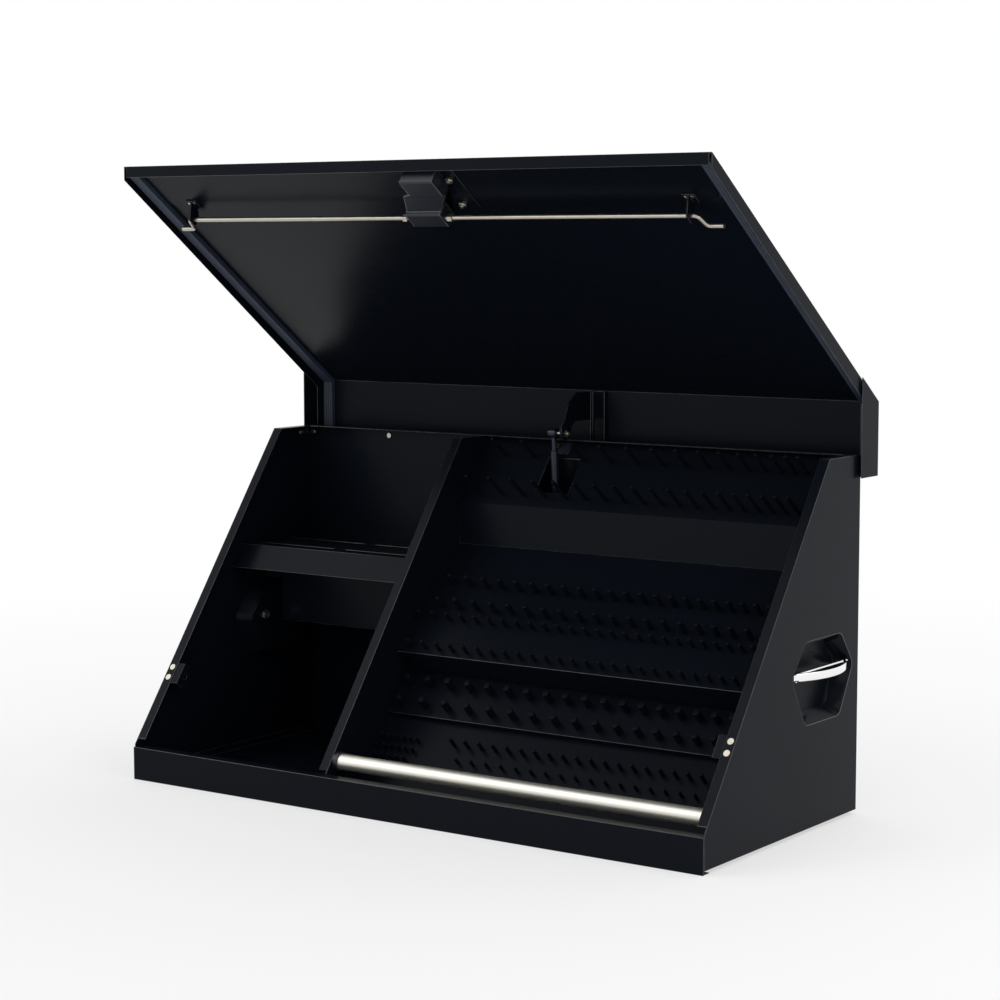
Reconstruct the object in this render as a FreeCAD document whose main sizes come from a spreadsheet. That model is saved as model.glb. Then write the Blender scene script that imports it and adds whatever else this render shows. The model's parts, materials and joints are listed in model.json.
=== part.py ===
import FreeCAD, Part
import math
import os
import re
import Sketcher
from FreeCAD import Vector

doc = FreeCAD.newDocument("TopToolChest")
sheet = doc.addObject("Spreadsheet::Sheet", "Sizes")
NAMES = set()
NODES = []


def size(alias, content):
    row = len(NAMES) + 1
    sheet.set(f"A{row}", alias)
    sheet.set(f"B{row}", content)
    sheet.setAlias(f"B{row}", alias)
    NAMES.add(alias)


# Driving sizes in mm and degrees. The origin is under the middle of the base,
# X to the right, Y to the rear and Z up, and the lid stands open.
SIZES = {
    "bodyWidth": 1041,  # outside width of the body
    "bodyDepth": 445,  # outside depth of the body
    "bodyHeight": 535,  # height of the body's top edge above the floor
    "topDepth": 96,  # depth of the flat top of the side walls
    "lipHeight": 52,  # top of the front lip above the floor
    "lipClearance": 0.4,  # gap from the lip to the floor
    "lipFlange": 20,  # flange at the top of the lip
    "lipReturn": 18,  # flange at the foot of the lip
    "footHeight": 6,  # height of the rubber feet
    "footDiameter": 30,  # diameter of the rubber feet
    "footInset": 60,  # foot centre in from the body's sides
    "steel": 1.2,  # sheet steel of body and lid
    "wallSetback": 3,  # side wall behind the front of the lip
    "wallFlange": 16,  # inward flange on the side walls and divider
    "foldRelief": 4,  # closed fold to the foot of the wall flange
    "backFlange": 20,  # forward flange on top of the back panel
    "panRim": 12,  # height of the base pan's rim
    "boltGap": 0.05,  # radial gap round a bolt in its hole
    "rivetDrop": 11,  # rivets below the body's top edge
    "rivetEdge": 7.5,  # outer rivet in from the body's left side
    "rivetInset": 171,  # inner rivet in from the body's left side
    "sideRivet": 28.5,  # side wall's rivet from the body's rear
    "rivetHead": 4.5,  # radius of the rivet heads
    "rivetShank": 2,  # radius of the rivet shanks
    "leftBay": 373,  # left side of the body to the divider's right face
    "dividerInset": 18,  # divider edge below the slope
    "shelfDrop": 185,  # screwdriver shelf below the body's top edge
    "shelfInset": 36,  # shelf edge below the slope
    "shelfFlange": 44.5,  # front flange of the shelf
    "slotWidth": 14,  # width of the shelf slots
    "slotLength": 150,  # length of the shelf slots
    "slotMargin": 24,  # shelf end to the first slot
    "slotFront": 160.5,  # middle of the front slots from the body's rear
    "slotRear": 82.5,  # middle of the rear slots from the body's rear
    "hangerInset": 122.5,  # front of the sheet under the shelf from the body's rear
    "hangerHeight": 130.8,  # height of the sheet under the shelf
    "dishClear": 4,  # gap from that sheet to the handle dish
    "wrenchDrop": 4,  # top of the wrench panel below the body's top edge
    "wrenchLean": 37.5,  # wrench panel from upright
    "wrenchLength": 124.8,  # wrench panel along its lean
    "riserLean": 4.3,  # riser under the wrench panel from upright
    "riserLength": 66.2,  # height of the riser along its lean
    "socketLean": 46.8,  # socket panels from upright
    "upperLength": 222.8,  # upper socket panel along its lean
    "upperStep": 50,  # step between upper and middle panel
    "middleLength": 80,  # middle socket panel along its lean
    "middleStep": 10,  # step between middle and lower panel
    "wrenchPegRadius": 3,  # radius of the pegs on the wrench panel
    "wrenchPegLength": 48,  # length of the pegs on the wrench panel
    "wrenchRowLow": 20.5,  # lower row of pegs, up the wrench panel
    "wrenchRowHigh": 92,  # upper row of pegs, up the wrench panel
    "largePegRadius": 4,  # radius of the pegs of the two upper socket rows
    "largePegLength": 24,  # length of the pegs of the two upper socket rows
    "smallPegRadius": 3,  # radius of the small socket pegs
    "smallPegLength": 18,  # length of the small socket pegs
    "widePegRadius": 5.5,  # radius of the pegs on the middle panel
    "widePegLength": 20,  # length of the pegs on the middle panel
    "thinPegRadius": 2.5,  # radius of the thin pegs on the lower panel
    "thinPegLength": 13,  # length of the thin pegs on the lower panel
    "upperRowA": 140,  # first row of pegs, up the upper panel
    "upperRowB": 94,  # second row of pegs, up the upper panel
    "upperRowC": 70,  # third row of pegs, up the upper panel
    "upperRowD": 12,  # fourth row of pegs, up the upper panel
    "middleRowA": 58,  # upper row of pegs, up the middle panel
    "middleRowB": 18,  # lower row of pegs, up the middle panel
    "lowerRowA": 38,  # first row of pegs, down the lower panel
    "lowerRowB": 42,  # second row of pegs, down the lower panel
    "lowerRowC": 60,  # third row of pegs, down the lower panel
    "lowerRowD": 68,  # fourth row of pegs, down the lower panel
    "lowerRowE": 78,  # fifth row of pegs, down the lower panel
    "windowLeft": -14,  # left edge of the strut window
    "windowRight": 46,  # right edge of the strut window
    "windowLow": 28,  # lower edge of the strut window, up the panel
    "windowHigh": 92,  # upper edge of the strut window, up the panel
    "bossPlateWidth": 29.7,  # plate with a boss, width
    "bossPlateHeight": 21.4,  # plate with a boss, height
    "bossPlateLeft": -11,  # left edge of the plate with a boss
    "bossPlateLow": 100,  # lower edge of the plate with a boss, up the panel
    "bossRadius": 5,  # radius of the boss
    "bossHeight": 5,  # height of the boss above its plate
    "tubeRadius": 12.5,  # outside radius of the retaining tube
    "tubeWall": 1.5,  # wall of the retaining tube
    "tubeInset": 51.5,  # axis of the retaining tube behind the body's front
    "tubeZ": 66,  # axis of the retaining tube above the floor
    "cupWall": 2.4,  # wall of the cups that hold the tube
    "cupLength": 8,  # length of the cups that hold the tube
    "sealThickness": 8,  # thickness of the lid seal
    "sealGap": 0.5,  # gap from the closed seal to the flange
    "sealWidth": 20,  # width of the lid seal
    "sealStart": 10,  # seal end up from the lid's front edge
    "lidOverhang": 3,  # lid beyond the body at each side
    "foldDepth": 17,  # fold along the lid's front edge
    "foldInset": 5,  # fold end in from the lid's sides
    "skirtFrontDepth": 17,  # depth of the lid's skirt at the front
    "skirtRearDepth": 22.5,  # depth of the lid's skirt at the rear
    "cheekStandoff": 2.5,  # gap between skirt and cheek
    "cheekDepth": 53.4,  # height of the cheeks
    "cheekHem": 15,  # height of the strip that holds a cheek
    "stiffenerSide": 3.8,  # gap from the stiffener to the side seals
    "stiffenerTop": 493,  # stiffener's rear edge, down the panel
    "stiffenerFront": 4.2,  # stiffener's front edge from the lid's front edge
    "stiffenerCorner": 25,  # corner radius of the stiffener
    "knuckleRadius": 4,  # radius of the hinge knuckles
    "pinRadius": 2.5,  # radius of the hinge pin
    "pinGap": 0.05,  # running clearance round pins and shafts
    "hingeDrop": 29.5,  # hinge axis below the body's top edge
    "hingeInset": 10.5,  # hinge end in from the body's sides
    "leafReach": 25,  # reach of a hinge leaf from the axis
    "leafGap": 0.5,  # gap between a leaf and the other knuckles
    "knuckleGap": 0.4,  # gap between two knuckles
    "lidRearGap": 5,  # lid's rear wall behind the hinge axis
    "openAngle": 90,  # angle the lid opens
    "rodRadius": 3.5,  # radius of the latch rods
    "rodDepth": 22,  # latch rods below the lid's outer face
    "rodDown": 489.5,  # latch rods and cam, down the panel
    "tipDown": 466,  # bent tips of the rods, down the panel
    "bendInset": 63.5,  # start of the rod's bend in from the body's sides
    "bendRun": 6,  # length of the rod's bend across
    "tipInset": 32.5,  # rod tips in from the body's sides
    "bendRadius": 7,  # radius of the rod's bends
    "camX": 7,  # cam axis to the right of the middle
    "camRadius": 11,  # radius of the cam disc
    "camPinOrbit": 8,  # cam pins from the cam axis
    "camPinRadius": 2.5,  # radius of the cam pins
    "camTurn": 90,  # turn of the latch handle
    "slotGap": 0.5,  # gap of a cam pin in its slot, each side
    "spindleRadius": 3,  # radius of the handle's spindle
    "rodEnd": 15,  # rod's inner end from the cam axis
    "bladeLap": 2,  # rod's blade over the rod's end
    "bladeDrop": 4.5,  # blade's outer face ahead of the rod's axis
    "bladeThick": 2,  # thickness of the blade
    "bladeRoot": 5,  # width of the blade where the rod joins it
    "bladeRise": 3,  # blade past the rod's axis at its root
    "bladeNear": 1,  # blade's inner edge from the rod's axis
    "bladeFar": 12.5,  # blade's outer edge from the rod's axis
    "bladeTip": 6,  # blade past its pin
    "rodNutAcross": 13,  # lock nut across its corners
    "rodNutAt": 36,  # lock nut from the cam axis
    "rodNutLength": 8,  # length of the lock nut
    "coverHalf": 31,  # half the width of the latch cover
    "coverReach": 15.5,  # latch cover from the cam axis to its rear and front
    "coverWall": 1.5,  # wall of the latch cover
    "coverTopLeft": 4,  # raised end of the cover, left side from the cam axis
    "coverTopRight": 62,  # raised end of the cover, right side from the cam axis
    "coverTopLow": 55.5,  # raised end of the cover, down from the cam axis
    "coverTopHigh": 91.5,  # end of the cover, down from the cam axis
    "plateThick": 1.5,  # thickness of the latch base plate
    "guideInset": 73.5,  # rod guides in from the body's sides
    "handleLength": 92,  # length of the outside handle
    "handleWidth": 20,  # width of the outside handle
    "handleThick": 8,  # thickness of the outside handle
    "escutcheonRadius": 24,  # radius of the plate under the handle
    "escutcheonThick": 5,  # thickness of the plate under the handle
    "lockRadius": 7,  # radius of the lock cylinder
    "strikerHalf": 17.5,  # half the width of a striker
    "strikerReach": 29.3,  # striker plate in from the wall
    "strikerDeep": 22,  # striker plate below the slope
    "strikerHole": 4.5,  # radius of the hole for the rod tip
    "strikerSteel": 2,  # thickness of a striker's foot
    "catchSteel": 2.5,  # thickness of a striker's upright
    "boltInset": 8,  # striker bolts in from the body's side
    "boltSpread": 9,  # striker bolts from the striker's middle
    "boltRadius": 2.5,  # radius of the striker bolts
    "boltHead": 5,  # radius of the striker bolts' heads
    "boltHeadHeight": 0.4,  # height of the striker bolts' heads
    "boltNut": 4.8,  # corner radius of the striker bolts' nuts
    "boltNutHeight": 4,  # height of the striker bolts' nuts
    "boltTail": 1.2,  # bolt end past its nut
    "ballInset": 36.5,  # strut ball ahead of the body's rear, lid shut
    "ballDrop": 78.7,  # strut ball below the lid's top, lid shut
    "ballX": 3,  # strut axis right of the middle
    "ballRadius": 5,  # radius of the strut balls
    "ballGap": 0.3,  # gap round the ball in its socket
    "pivotInset": 14.5,  # lower end of the strut ahead of the body's rear
    "pivotDrop": 285,  # lower end of the strut below the body's top edge
    "pivotGap": 0.5,  # gap from the strut's foot to its stud
    "strutFoot": 8,  # width of the strut's foot
    "strutFootRadius": 7,  # radius of the strut's foot
    "strutRadius": 6.5,  # radius of the strut cylinder
    "strutRodRadius": 3,  # radius of the strut rod
    "strutLength": 160,  # strut cylinder from the ball to its end
    "armX": 22,  # left face of the strut arm
    "armSteel": 3,  # thickness of the strut arm
    "channelWidth": 27,  # width of the channel beside the arm
    "channelDepth": 7,  # depth of the channel beside the arm
    "dishFront": 202.5,  # front corner of the handle dish from the body's rear
    "dishRear": 16.5,  # rear corner of the handle dish from the body's rear
    "dishDrop": 306,  # front and rear corners of the dish below the body's top edge
    "dishRise": 49,  # top of the dish above those corners
    "dishFall": 71,  # foot of the dish below those corners
    "dishDepth": 28,  # depth of the handle dish
    "dishTaper": 12,  # slant of the dish's walls
    "dishCorner": 15,  # corner radius of the dish
    "dishRim": 7,  # rim of the dish behind the wall
    "gripSetback": 6.5,  # straight edge of the handle inside the wall
    "gripBulge": 26,  # handle's arc beyond its straight edge
    "gripFront": 190.5,  # front end of the handle from the body's rear
    "gripRear": 25.5,  # rear end of the handle from the body's rear
    "gripLift": 1,  # handle above those corners
    "gripThick": 12,  # thickness of the handle
    "postRadius": 5,  # radius of the handle's posts
    "postInset": 33,  # post from the handle's end
    "nutCorner": 8.5,  # corner radius of the handle's nuts
    "nutLength": 3,  # length of the handle's nuts
}
for alias, number in SIZES.items():
    size(alias, str(number))

# Sizes that follow from the ones above.
size("halfWidth", "=bodyWidth / 2")
size("rearY", "=bodyDepth / 2")
size("frontY", "=-bodyDepth / 2")
size("breakY", "=rearY - topDepth")
size("slopeLean", "=atan2(breakY - frontY; bodyHeight - lipHeight) / 1 deg")
size("slopeSin", "=sin(slopeLean)")
size("slopeCos", "=cos(slopeLean)")
size("slopeTan", "=slopeSin / slopeCos")
size("slopeMitre", "=slopeCos / (1 + slopeSin)")
size("innerX", "=halfWidth - steel")
size("innerRear", "=rearY - steel")
size("floorTop", "=footHeight + steel")
size("wallFrontY", "=frontY + wallSetback")
size("dividerX", "=leftBay - halfWidth")
size("shelfTop", "=bodyHeight - shelfDrop")
size("wrenchTop", "=bodyHeight - wrenchDrop")
size("hangerY", "=rearY - hangerInset")
size("slotFrontY", "=rearY - slotFront")
size("slotRearY", "=rearY - slotRear")
size("tubeY", "=frontY + tubeInset")
size("dishMidZ", "=bodyHeight - dishDrop")
size("dishTopZ", "=dishMidZ + dishRise")
size("dishLowZ", "=dishMidZ - dishFall")
size("dishFrontY", "=rearY - dishFront")
size("dishRearY", "=rearY - dishRear")
size("gripZ", "=dishMidZ + gripLift")
size("gripFrontY", "=rearY - gripFront")
size("gripRearY", "=rearY - gripRear")
size("guideAt", "=halfWidth - guideInset")
size("bendInner", "=halfWidth - bendInset")
size("bendOuter", "=bendInner + bendRun")
size("tipReach", "=halfWidth - tipInset")
size("pivotY", "=rearY - pivotInset")
size("pivotZ", "=bodyHeight - pivotDrop")
size("wallFrontZ", "=lipHeight + wallSetback / slopeTan")
size("dividerTop", "=bodyHeight - steel")
size("dividerLeft", "=dividerX - steel")

size("lidGap", "=sealThickness + sealGap + steel")
size("lidTopZ", "=bodyHeight + lidGap")
size("lidBreakY", "=breakY - lidGap * slopeMitre")
size("foldZ", "=lipHeight + sealThickness")
size("flangeFootZ", "=foldZ + steel + foldRelief")
size("flangeFootY", "=wallFrontY + (flangeFootZ - wallFrontZ) * slopeTan")
size("lidLength", "=(lidTopZ - foldZ) / slopeCos")
size("skirtLowY", "=lidFrontY + skirtFrontDepth * slopeCos")
size("skirtLowZ", "=foldZ - skirtFrontDepth * slopeSin")
size("skirtBendY", "=lidBreakY + skirtRearDepth * slopeMitre")
size("skirtBendZ", "=lidTopZ - skirtRearDepth")
size("skirtFootY", "=skirtLowY + (skirtBendY - skirtLowY) * (foldZ - skirtLowZ) / (skirtBendZ - skirtLowZ)")
size("lidFrontY", "=lidBreakY - lidLength * slopeSin")
size("lidHalf", "=halfWidth + lidOverhang")
size("hingeY", "=rearY + knuckleRadius")
size("hingeZ", "=bodyHeight - hingeDrop")
size("lidRearY", "=hingeY + lidRearGap")
size("lidRearZ", "=hingeZ + knuckleRadius + 3 * leafGap")
size("lidShiftY", "=hingeY - hingeY * cos(openAngle) - hingeZ * sin(openAngle)")
size("lidShiftZ", "=hingeZ + hingeY * sin(openAngle) - hingeZ * cos(openAngle)")
size("panelY", "=lidShiftY + lidBreakY * cos(openAngle) + lidTopZ * sin(openAngle)")
size("panelZ", "=lidShiftZ - lidBreakY * sin(openAngle) + lidTopZ * cos(openAngle)")
size("panelLean", "=-(90 + slopeLean + openAngle)")
size("alongShift", "=lidGap * slopeMitre")
size("sealUnder", "=steel + sealThickness")
size("sealOuter", "=lidHalf - steel - lidOverhang / 2")
size("sealInner", "=sealOuter - sealWidth")

size("wrenchSin", "=sin(wrenchLean)")
size("wrenchCos", "=cos(wrenchLean)")
size("riserSin", "=sin(riserLean)")
size("riserCos", "=cos(riserLean)")
size("socketSin", "=sin(socketLean)")
size("socketCos", "=cos(socketLean)")
size("wrenchTopY", "=innerRear - steel * wrenchCos")
size("wrenchLowY", "=wrenchTopY - wrenchLength * wrenchSin")
size("wrenchLowZ", "=wrenchTop - wrenchLength * wrenchCos")
size("upperTopY", "=wrenchLowY - riserLength * riserSin")
size("upperTopZ", "=wrenchLowZ - riserLength * riserCos")
size("upperLowY", "=upperTopY - upperLength * socketSin")
size("upperLowZ", "=upperTopZ - upperLength * socketCos")
size("middleTopY", "=upperLowY + upperStep * socketCos")
size("middleTopZ", "=upperLowZ - upperStep * socketSin")
size("middleLowY", "=middleTopY - middleLength * socketSin")
size("middleLowZ", "=middleTopZ - middleLength * socketCos")
size("lowerTopY", "=middleLowY + middleStep * socketCos")
size("lowerTopZ", "=middleLowZ - middleStep * socketSin")
size("lowerLowZ", "=floorTop + steel * socketSin")
size("lowerLowY", "=lowerTopY - (lowerTopZ - lowerLowZ) * socketSin / socketCos")

size("stiffenerHalf", "=sealInner - stiffenerSide")
size("ballY", "=rearY - ballInset")
size("ballZ", "=lidTopZ - ballDrop")
size("ballOpenY", "=lidShiftY + ballY * cos(openAngle) + ballZ * sin(openAngle)")
size("ballOpenZ", "=lidShiftZ - ballY * sin(openAngle) + ballZ * cos(openAngle)")
size("strutLean", "=atan2(pivotY - ballOpenY; ballOpenZ - pivotZ) / 1 deg")
size("strutOpen", "=sqrt((pivotY - ballOpenY)^2 + (ballOpenZ - pivotZ)^2)")
size("strutShut", "=sqrt((pivotY - ballY)^2 + (ballZ - pivotZ)^2)")
size("rodStroke", "=2 * camPinOrbit * sin(camTurn / 2)")
doc.recompute()


def bind(text):
    return re.sub(
        r"[A-Za-z]\w*",
        lambda word: "Sizes." + word.group(0) if word.group(0) in NAMES else word.group(0),
        str(text),
    )


def value(text):
    found = sheet.evalExpression(bind(text))
    return float(getattr(found, "Value", found))


# A frame is a turn about X and the point its own origin lies on.
WORLD = ("0", "0", "0")
LID = ("lidShiftY", "lidShiftZ", "-openAngle")
PANEL = ("panelY", "panelZ", "panelLean")
SLOPE = ("breakY", "bodyHeight", "-(90 + slopeLean)")
WRENCH = ("wrenchLowY", "wrenchLowZ", "90 - wrenchLean")
UPPER = ("upperLowY", "upperLowZ", "90 - socketLean")
MIDDLE = ("middleLowY", "middleLowZ", "90 - socketLean")
LOWER = ("lowerTopY", "lowerTopZ", "90 - socketLean")
STRUT = ("ballOpenY", "ballOpenZ", "strutLean - 180")


def put(piece, frame):
    if frame is not WORLD:
        place = f"placement(vector(0; {frame[0]}; {frame[1]}); rotation(vector(1; 0; 0); {frame[2]}))"
        piece.setExpression("Placement", bind(place))


def keep(piece, name, frame=WORLD):
    piece.Label = name
    put(piece, frame)
    NODES.append(piece)
    return piece


def new_body(name, frame=WORLD):
    body = doc.addObject("PartDesign::Body", "body_" + name)
    return keep(body, name, frame)


def origin_plane(body, plane):
    for feature in body.Origin.OriginFeatures:
        if feature.Role == plane + "_Plane":
            return feature
    raise ValueError(plane)


def new_sketch(body, plane, start, tilt=None):
    sketch = body.newObject("Sketcher::SketchObject", "sketch")
    sketch.AttachmentSupport = (origin_plane(body, plane), [""])
    sketch.MapMode = "FlatFace"
    if tilt is None:
        sketch.setExpression("AttachmentOffset.Base.z", bind(start))
        return sketch
    shift_y = f"{tilt[0]} - sin({tilt[2]}) * ({start})"
    shift_z = f"{tilt[1]} + cos({tilt[2]}) * ({start})"
    turn = f"rotation(vector(1; 0; 0); {tilt[2]})"
    sketch.setExpression("AttachmentOffset", bind(f"placement(vector(0; {shift_y}; {shift_z}); {turn})"))
    return sketch


def pin_down(sketch, kind, geometry, point, text, amount):
    index = sketch.addConstraint(Sketcher.Constraint(kind, geometry, point, amount))
    name = f"size{index}"
    sketch.renameConstraint(index, name)
    sketch.setExpression("Constraints." + name, bind(text))


def polygon(sketch, points):
    spots = [Vector(value(x), value(y), 0) for x, y in points]
    count = len(spots)
    first = sketch.GeometryCount
    for i in range(count):
        sketch.addGeometry(Part.LineSegment(spots[i], spots[(i + 1) % count]), False)
    for i in range(count):
        following = first + (i + 1) % count
        sketch.addConstraint(Sketcher.Constraint("Coincident", first + i, 2, following, 1))
    for i in range(count):
        pin_down(sketch, "DistanceX", first + i, 1, points[i][0], spots[i].x)
        pin_down(sketch, "DistanceY", first + i, 1, points[i][1], spots[i].y)


def circles(sketch, spots, radius):
    for x, y in spots:
        centre = Vector(value(x), value(y), 0)
        index = sketch.addGeometry(Part.Circle(centre, Vector(0, 0, 1), value(radius)), False)
        pin_down(sketch, "DistanceX", index, 3, x, centre.x)
        pin_down(sketch, "DistanceY", index, 3, y, centre.y)
        bound = sketch.addConstraint(Sketcher.Constraint("Radius", index, value(radius)))
        sketch.renameConstraint(bound, f"size{bound}")
        sketch.setExpression(f"Constraints.size{bound}", bind(radius))


def grow(body, sketch, length):
    feature = body.newObject("PartDesign::Pad", "pad")
    feature.Profile = sketch
    feature.setExpression("Length", bind(length))
    doc.recompute()
    return feature


def sink(body, sketch, length):
    before = body.Shape.Volume
    feature = body.newObject("PartDesign::Pocket", "pocket")
    feature.Profile = sketch
    feature.setExpression("Length", bind(length))
    feature.Reversed = True
    doc.recompute()
    if not body.Shape.Volume < before - 1e-6:
        raise ValueError(f"{body.Label}: a pocket took nothing away")
    return feature


def pad(body, plane, points, start, length, tilt=None):
    sketch = new_sketch(body, plane, start, tilt)
    polygon(sketch, points)
    return grow(body, sketch, length)


def pad_rounds(body, plane, spots, radius, start, length, tilt=None):
    sketch = new_sketch(body, plane, start, tilt)
    circles(sketch, spots, radius)
    return grow(body, sketch, length)


def pocket(body, plane, points, start, length, tilt=None):
    sketch = new_sketch(body, plane, start, tilt)
    polygon(sketch, points)
    return sink(body, sketch, length)


def bore(body, plane, spots, radius, start, length, tilt=None):
    sketch = new_sketch(body, plane, start, tilt)
    circles(sketch, spots, radius)
    return sink(body, sketch, length)


def box(x0, x1, y0, y1):
    return [(x0, y0), (x1, y0), (x1, y1), (x0, y1)]


def soften(body, radius, wanted, kind="PartDesign::Fillet"):
    tip = body.Tip
    names = [f"Edge{i + 1}" for i, edge in enumerate(tip.Shape.Edges) if wanted(edge)]
    if not names:
        raise ValueError(f"{body.Label}: no edge to soften")
    feature = body.newObject(kind, "soft")
    feature.Base = (tip, names)
    feature.setExpression("Radius" if kind.endswith("Fillet") else "Size", bind(radius))
    doc.recompute()
    return feature


def runs_along(edge, axis):
    if not isinstance(edge.Curve, Part.Line):
        return False
    return abs(abs(edge.Curve.Direction.dot(axis)) - 1) < 1e-6


def solid(kind, x="0", y="0", z="0", turn=None, **sizes):
    piece = doc.addObject("Part::" + kind, kind.lower())
    for name, text in sizes.items():
        piece.setExpression(name, bind(text))
    turn = turn or "rotation(vector(0; 0; 1); 0)"
    piece.setExpression("Placement", bind(f"placement(vector({x}; {y}; {z}); {turn})"))
    return piece


ALONG_X = "rotation(vector(0; 1; 0); 90)"
ALONG_Y = "rotation(vector(1; 0; 0); -90)"


def rod_x(radius, x, length, y, z):
    return solid("Cylinder", x, y, z, ALONG_X, Radius=radius, Height=length)


def rod_z(radius, x, y, z, length):
    return solid("Cylinder", x, y, z, Radius=radius, Height=length)


def block(x, y, z, length, width, height):
    return solid("Box", x, y, z, Length=length, Width=width, Height=height)


def hex_x(corner, x, length, y, z):
    piece = solid("Prism", x, y, z, ALONG_X, Circumradius=corner, Height=length)
    piece.Polygon = 6
    return piece


def hex_z(corner, x, y, z, length):
    piece = solid("Prism", x, y, z, Circumradius=corner, Height=length)
    piece.Polygon = 6
    return piece


def fuse(pieces):
    joined = doc.addObject("Part::MultiFuse", "fusion")
    joined.Shapes = pieces
    joined.Refine = True
    return joined


def cut(base, tool):
    result = doc.addObject("Part::Cut", "cut")
    result.Base = base
    result.Tool = tool
    result.Refine = True
    return result


def group(pieces):
    bunch = doc.addObject("Part::Compound", "group")
    bunch.Links = pieces
    return bunch


# Base pan and feet
base_pan = new_body("base_pan")
pad(base_pan, "XY", box("-innerX", "innerX", "frontY + steel", "innerRear"), "footHeight", "panRim")
inner_edge = "halfWidth - 2 * steel"
pocket(
    base_pan, "XY", box(f"-({inner_edge})", inner_edge, "frontY + 2 * steel", "rearY + 1"),
    "floorTop", "panRim",
)

foot_x = "halfWidth - footInset"
foot_y = "rearY - footInset"
feet = [(foot_x, foot_y), (foot_x, f"-({foot_y})"), (f"-({foot_x})", foot_y)]
feet += [(f"-({foot_x})", f"-({foot_y})"), ("0", "0")]
rubber_feet = [rod_z("footDiameter / 2", x, y, "0", "footHeight") for x, y in feet]
keep(group(rubber_feet), "rubber_feet")

# Front lip
lip = new_body("front_lip")
lip_plate = box("frontY", "frontY + steel", "lipClearance", "lipHeight")
pad(lip, "YZ", lip_plate, "-halfWidth", "bodyWidth")
lip_foot = box("frontY", "frontY + lipReturn", "lipClearance", "lipClearance + steel")
pad(lip, "YZ", lip_foot, "-innerX", "2 * innerX")
lip_head = box("frontY", "frontY + lipFlange", "lipHeight - steel", "lipHeight")
pad(lip, "YZ", lip_head, "-innerX", "2 * innerX")
lip_end = box("frontY", "wallFrontY", "footHeight", "lipHeight")
pad(lip, "YZ", lip_end, "-halfWidth", "steel")
pad(lip, "YZ", lip_end, "innerX", "steel")

# Back panel
back = new_body("back_panel")
pad(back, "YZ", box("innerRear", "rearY", "footHeight", "bodyHeight"), "-halfWidth", "bodyWidth")
back_head = box("rearY - backFlange", "rearY", "bodyHeight - steel", "bodyHeight")
pad(back, "YZ", back_head, "-(halfWidth - wallFlange)", "2 * (halfWidth - wallFlange)")
rivet_z = "bodyHeight - rivetDrop"
back_rivets = [("-(halfWidth - rivetEdge)", rivet_z), ("-(halfWidth - rivetInset)", rivet_z)]
side_rivet = [("rearY - sideRivet", rivet_z)]

# Side walls with their flanges, dish openings and bolt holes
wall_outline = [
    ("innerRear", "footHeight"),
    ("wallFrontY", "footHeight"),
    ("wallFrontY", "wallFrontZ"),
    ("breakY", "bodyHeight"),
    ("innerRear", "bodyHeight"),
]
wall_flange = [
    ("flangeFootY", "flangeFootZ"),
    ("breakY", "bodyHeight"),
    ("innerRear", "bodyHeight"),
    ("innerRear", "bodyHeight - steel"),
    ("breakY + steel * slopeMitre", "bodyHeight - steel"),
    ("flangeFootY", "flangeFootZ - steel / slopeSin"),
]


def dish_outline(taper):
    wide = f"0.4 * ({taper})"
    point = f"1.2 * ({taper})"
    return [
        (f"dishFrontY + {point}", "dishMidZ"),
        (f"dishFrontY + 40 + {wide}", f"dishTopZ - ({taper})"),
        (f"dishRearY - 38 - {wide}", f"dishTopZ - ({taper})"),
        (f"dishRearY - {point}", "dishMidZ"),
        (f"dishRearY - 41 - {wide}", f"dishLowZ + ({taper})"),
        (f"dishFrontY + 42 + {wide}", f"dishLowZ + ({taper})"),
    ]


striker_down = "tipDown - alongShift"
striker_bolt_x = "halfWidth - boltInset"
striker_bolt_y = [f"{striker_down} - boltSpread", f"{striker_down} + boltSpread"]


def corner_of_dish(edge, x_low, x_high):
    centre = edge.CenterOfMass
    inside_y = value("dishFrontY") - 20 < centre.y < value("dishRearY") + 20
    inside_z = value("dishLowZ") - 20 < centre.z < value("dishTopZ") + 20
    return inside_y and inside_z and x_low < centre.x < x_high


def side_wall(name, side):
    wall = new_body(name)
    start = "innerX" if side > 0 else "-halfWidth"
    pad(wall, "YZ", wall_outline, start, "steel")
    flange_start = "halfWidth - wallFlange" if side > 0 else "-halfWidth"
    pad(wall, "YZ", wall_flange, flange_start, "wallFlange")
    pocket(wall, "YZ", dish_outline("0"), start, "steel")
    middle = value(start) + value("steel") / 2
    soften(
        wall, "dishCorner",
        lambda edge: runs_along(edge, Vector(1, 0, 0)) and corner_of_dish(edge, middle - 0.1, middle + 0.1),
    )
    bolt_x = striker_bolt_x if side > 0 else f"-({striker_bolt_x})"
    spots = [(bolt_x, y) for y in striker_bolt_y]
    bore(wall, "XY", spots, "boltRadius + boltGap", "-0.1", "steel + 0.2", SLOPE)
    return wall


left_wall = side_wall("left_side_wall", -1)
right_wall = side_wall("right_side_wall", 1)
bore(left_wall, "YZ", side_rivet, "rivetShank + boltGap", "-halfWidth - 0.1", "steel + 0.2")

sketch = new_sketch(back, "XZ", "-rearY - 0.1")
circles(sketch, back_rivets, "rivetShank + boltGap")
sink(back, sketch, "steel + 0.2")

rivets = []
for x, z in back_rivets:
    head = solid("Cylinder", x, "innerRear - 2.5", z, ALONG_Y, Radius="rivetHead", Height="2.5")
    shank = solid("Cylinder", x, "innerRear - 1", z, ALONG_Y, Radius="rivetShank", Height="steel + 2")
    rivets.append(fuse([head, shank]))
head = rod_x("rivetHead", "-innerX", "2.5", *side_rivet[0])
shank = rod_x("rivetShank", "-halfWidth - 1", "steel + 2", *side_rivet[0])
rivets.append(fuse([head, shank]))
keep(group(rivets), "wall_rivets")

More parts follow.
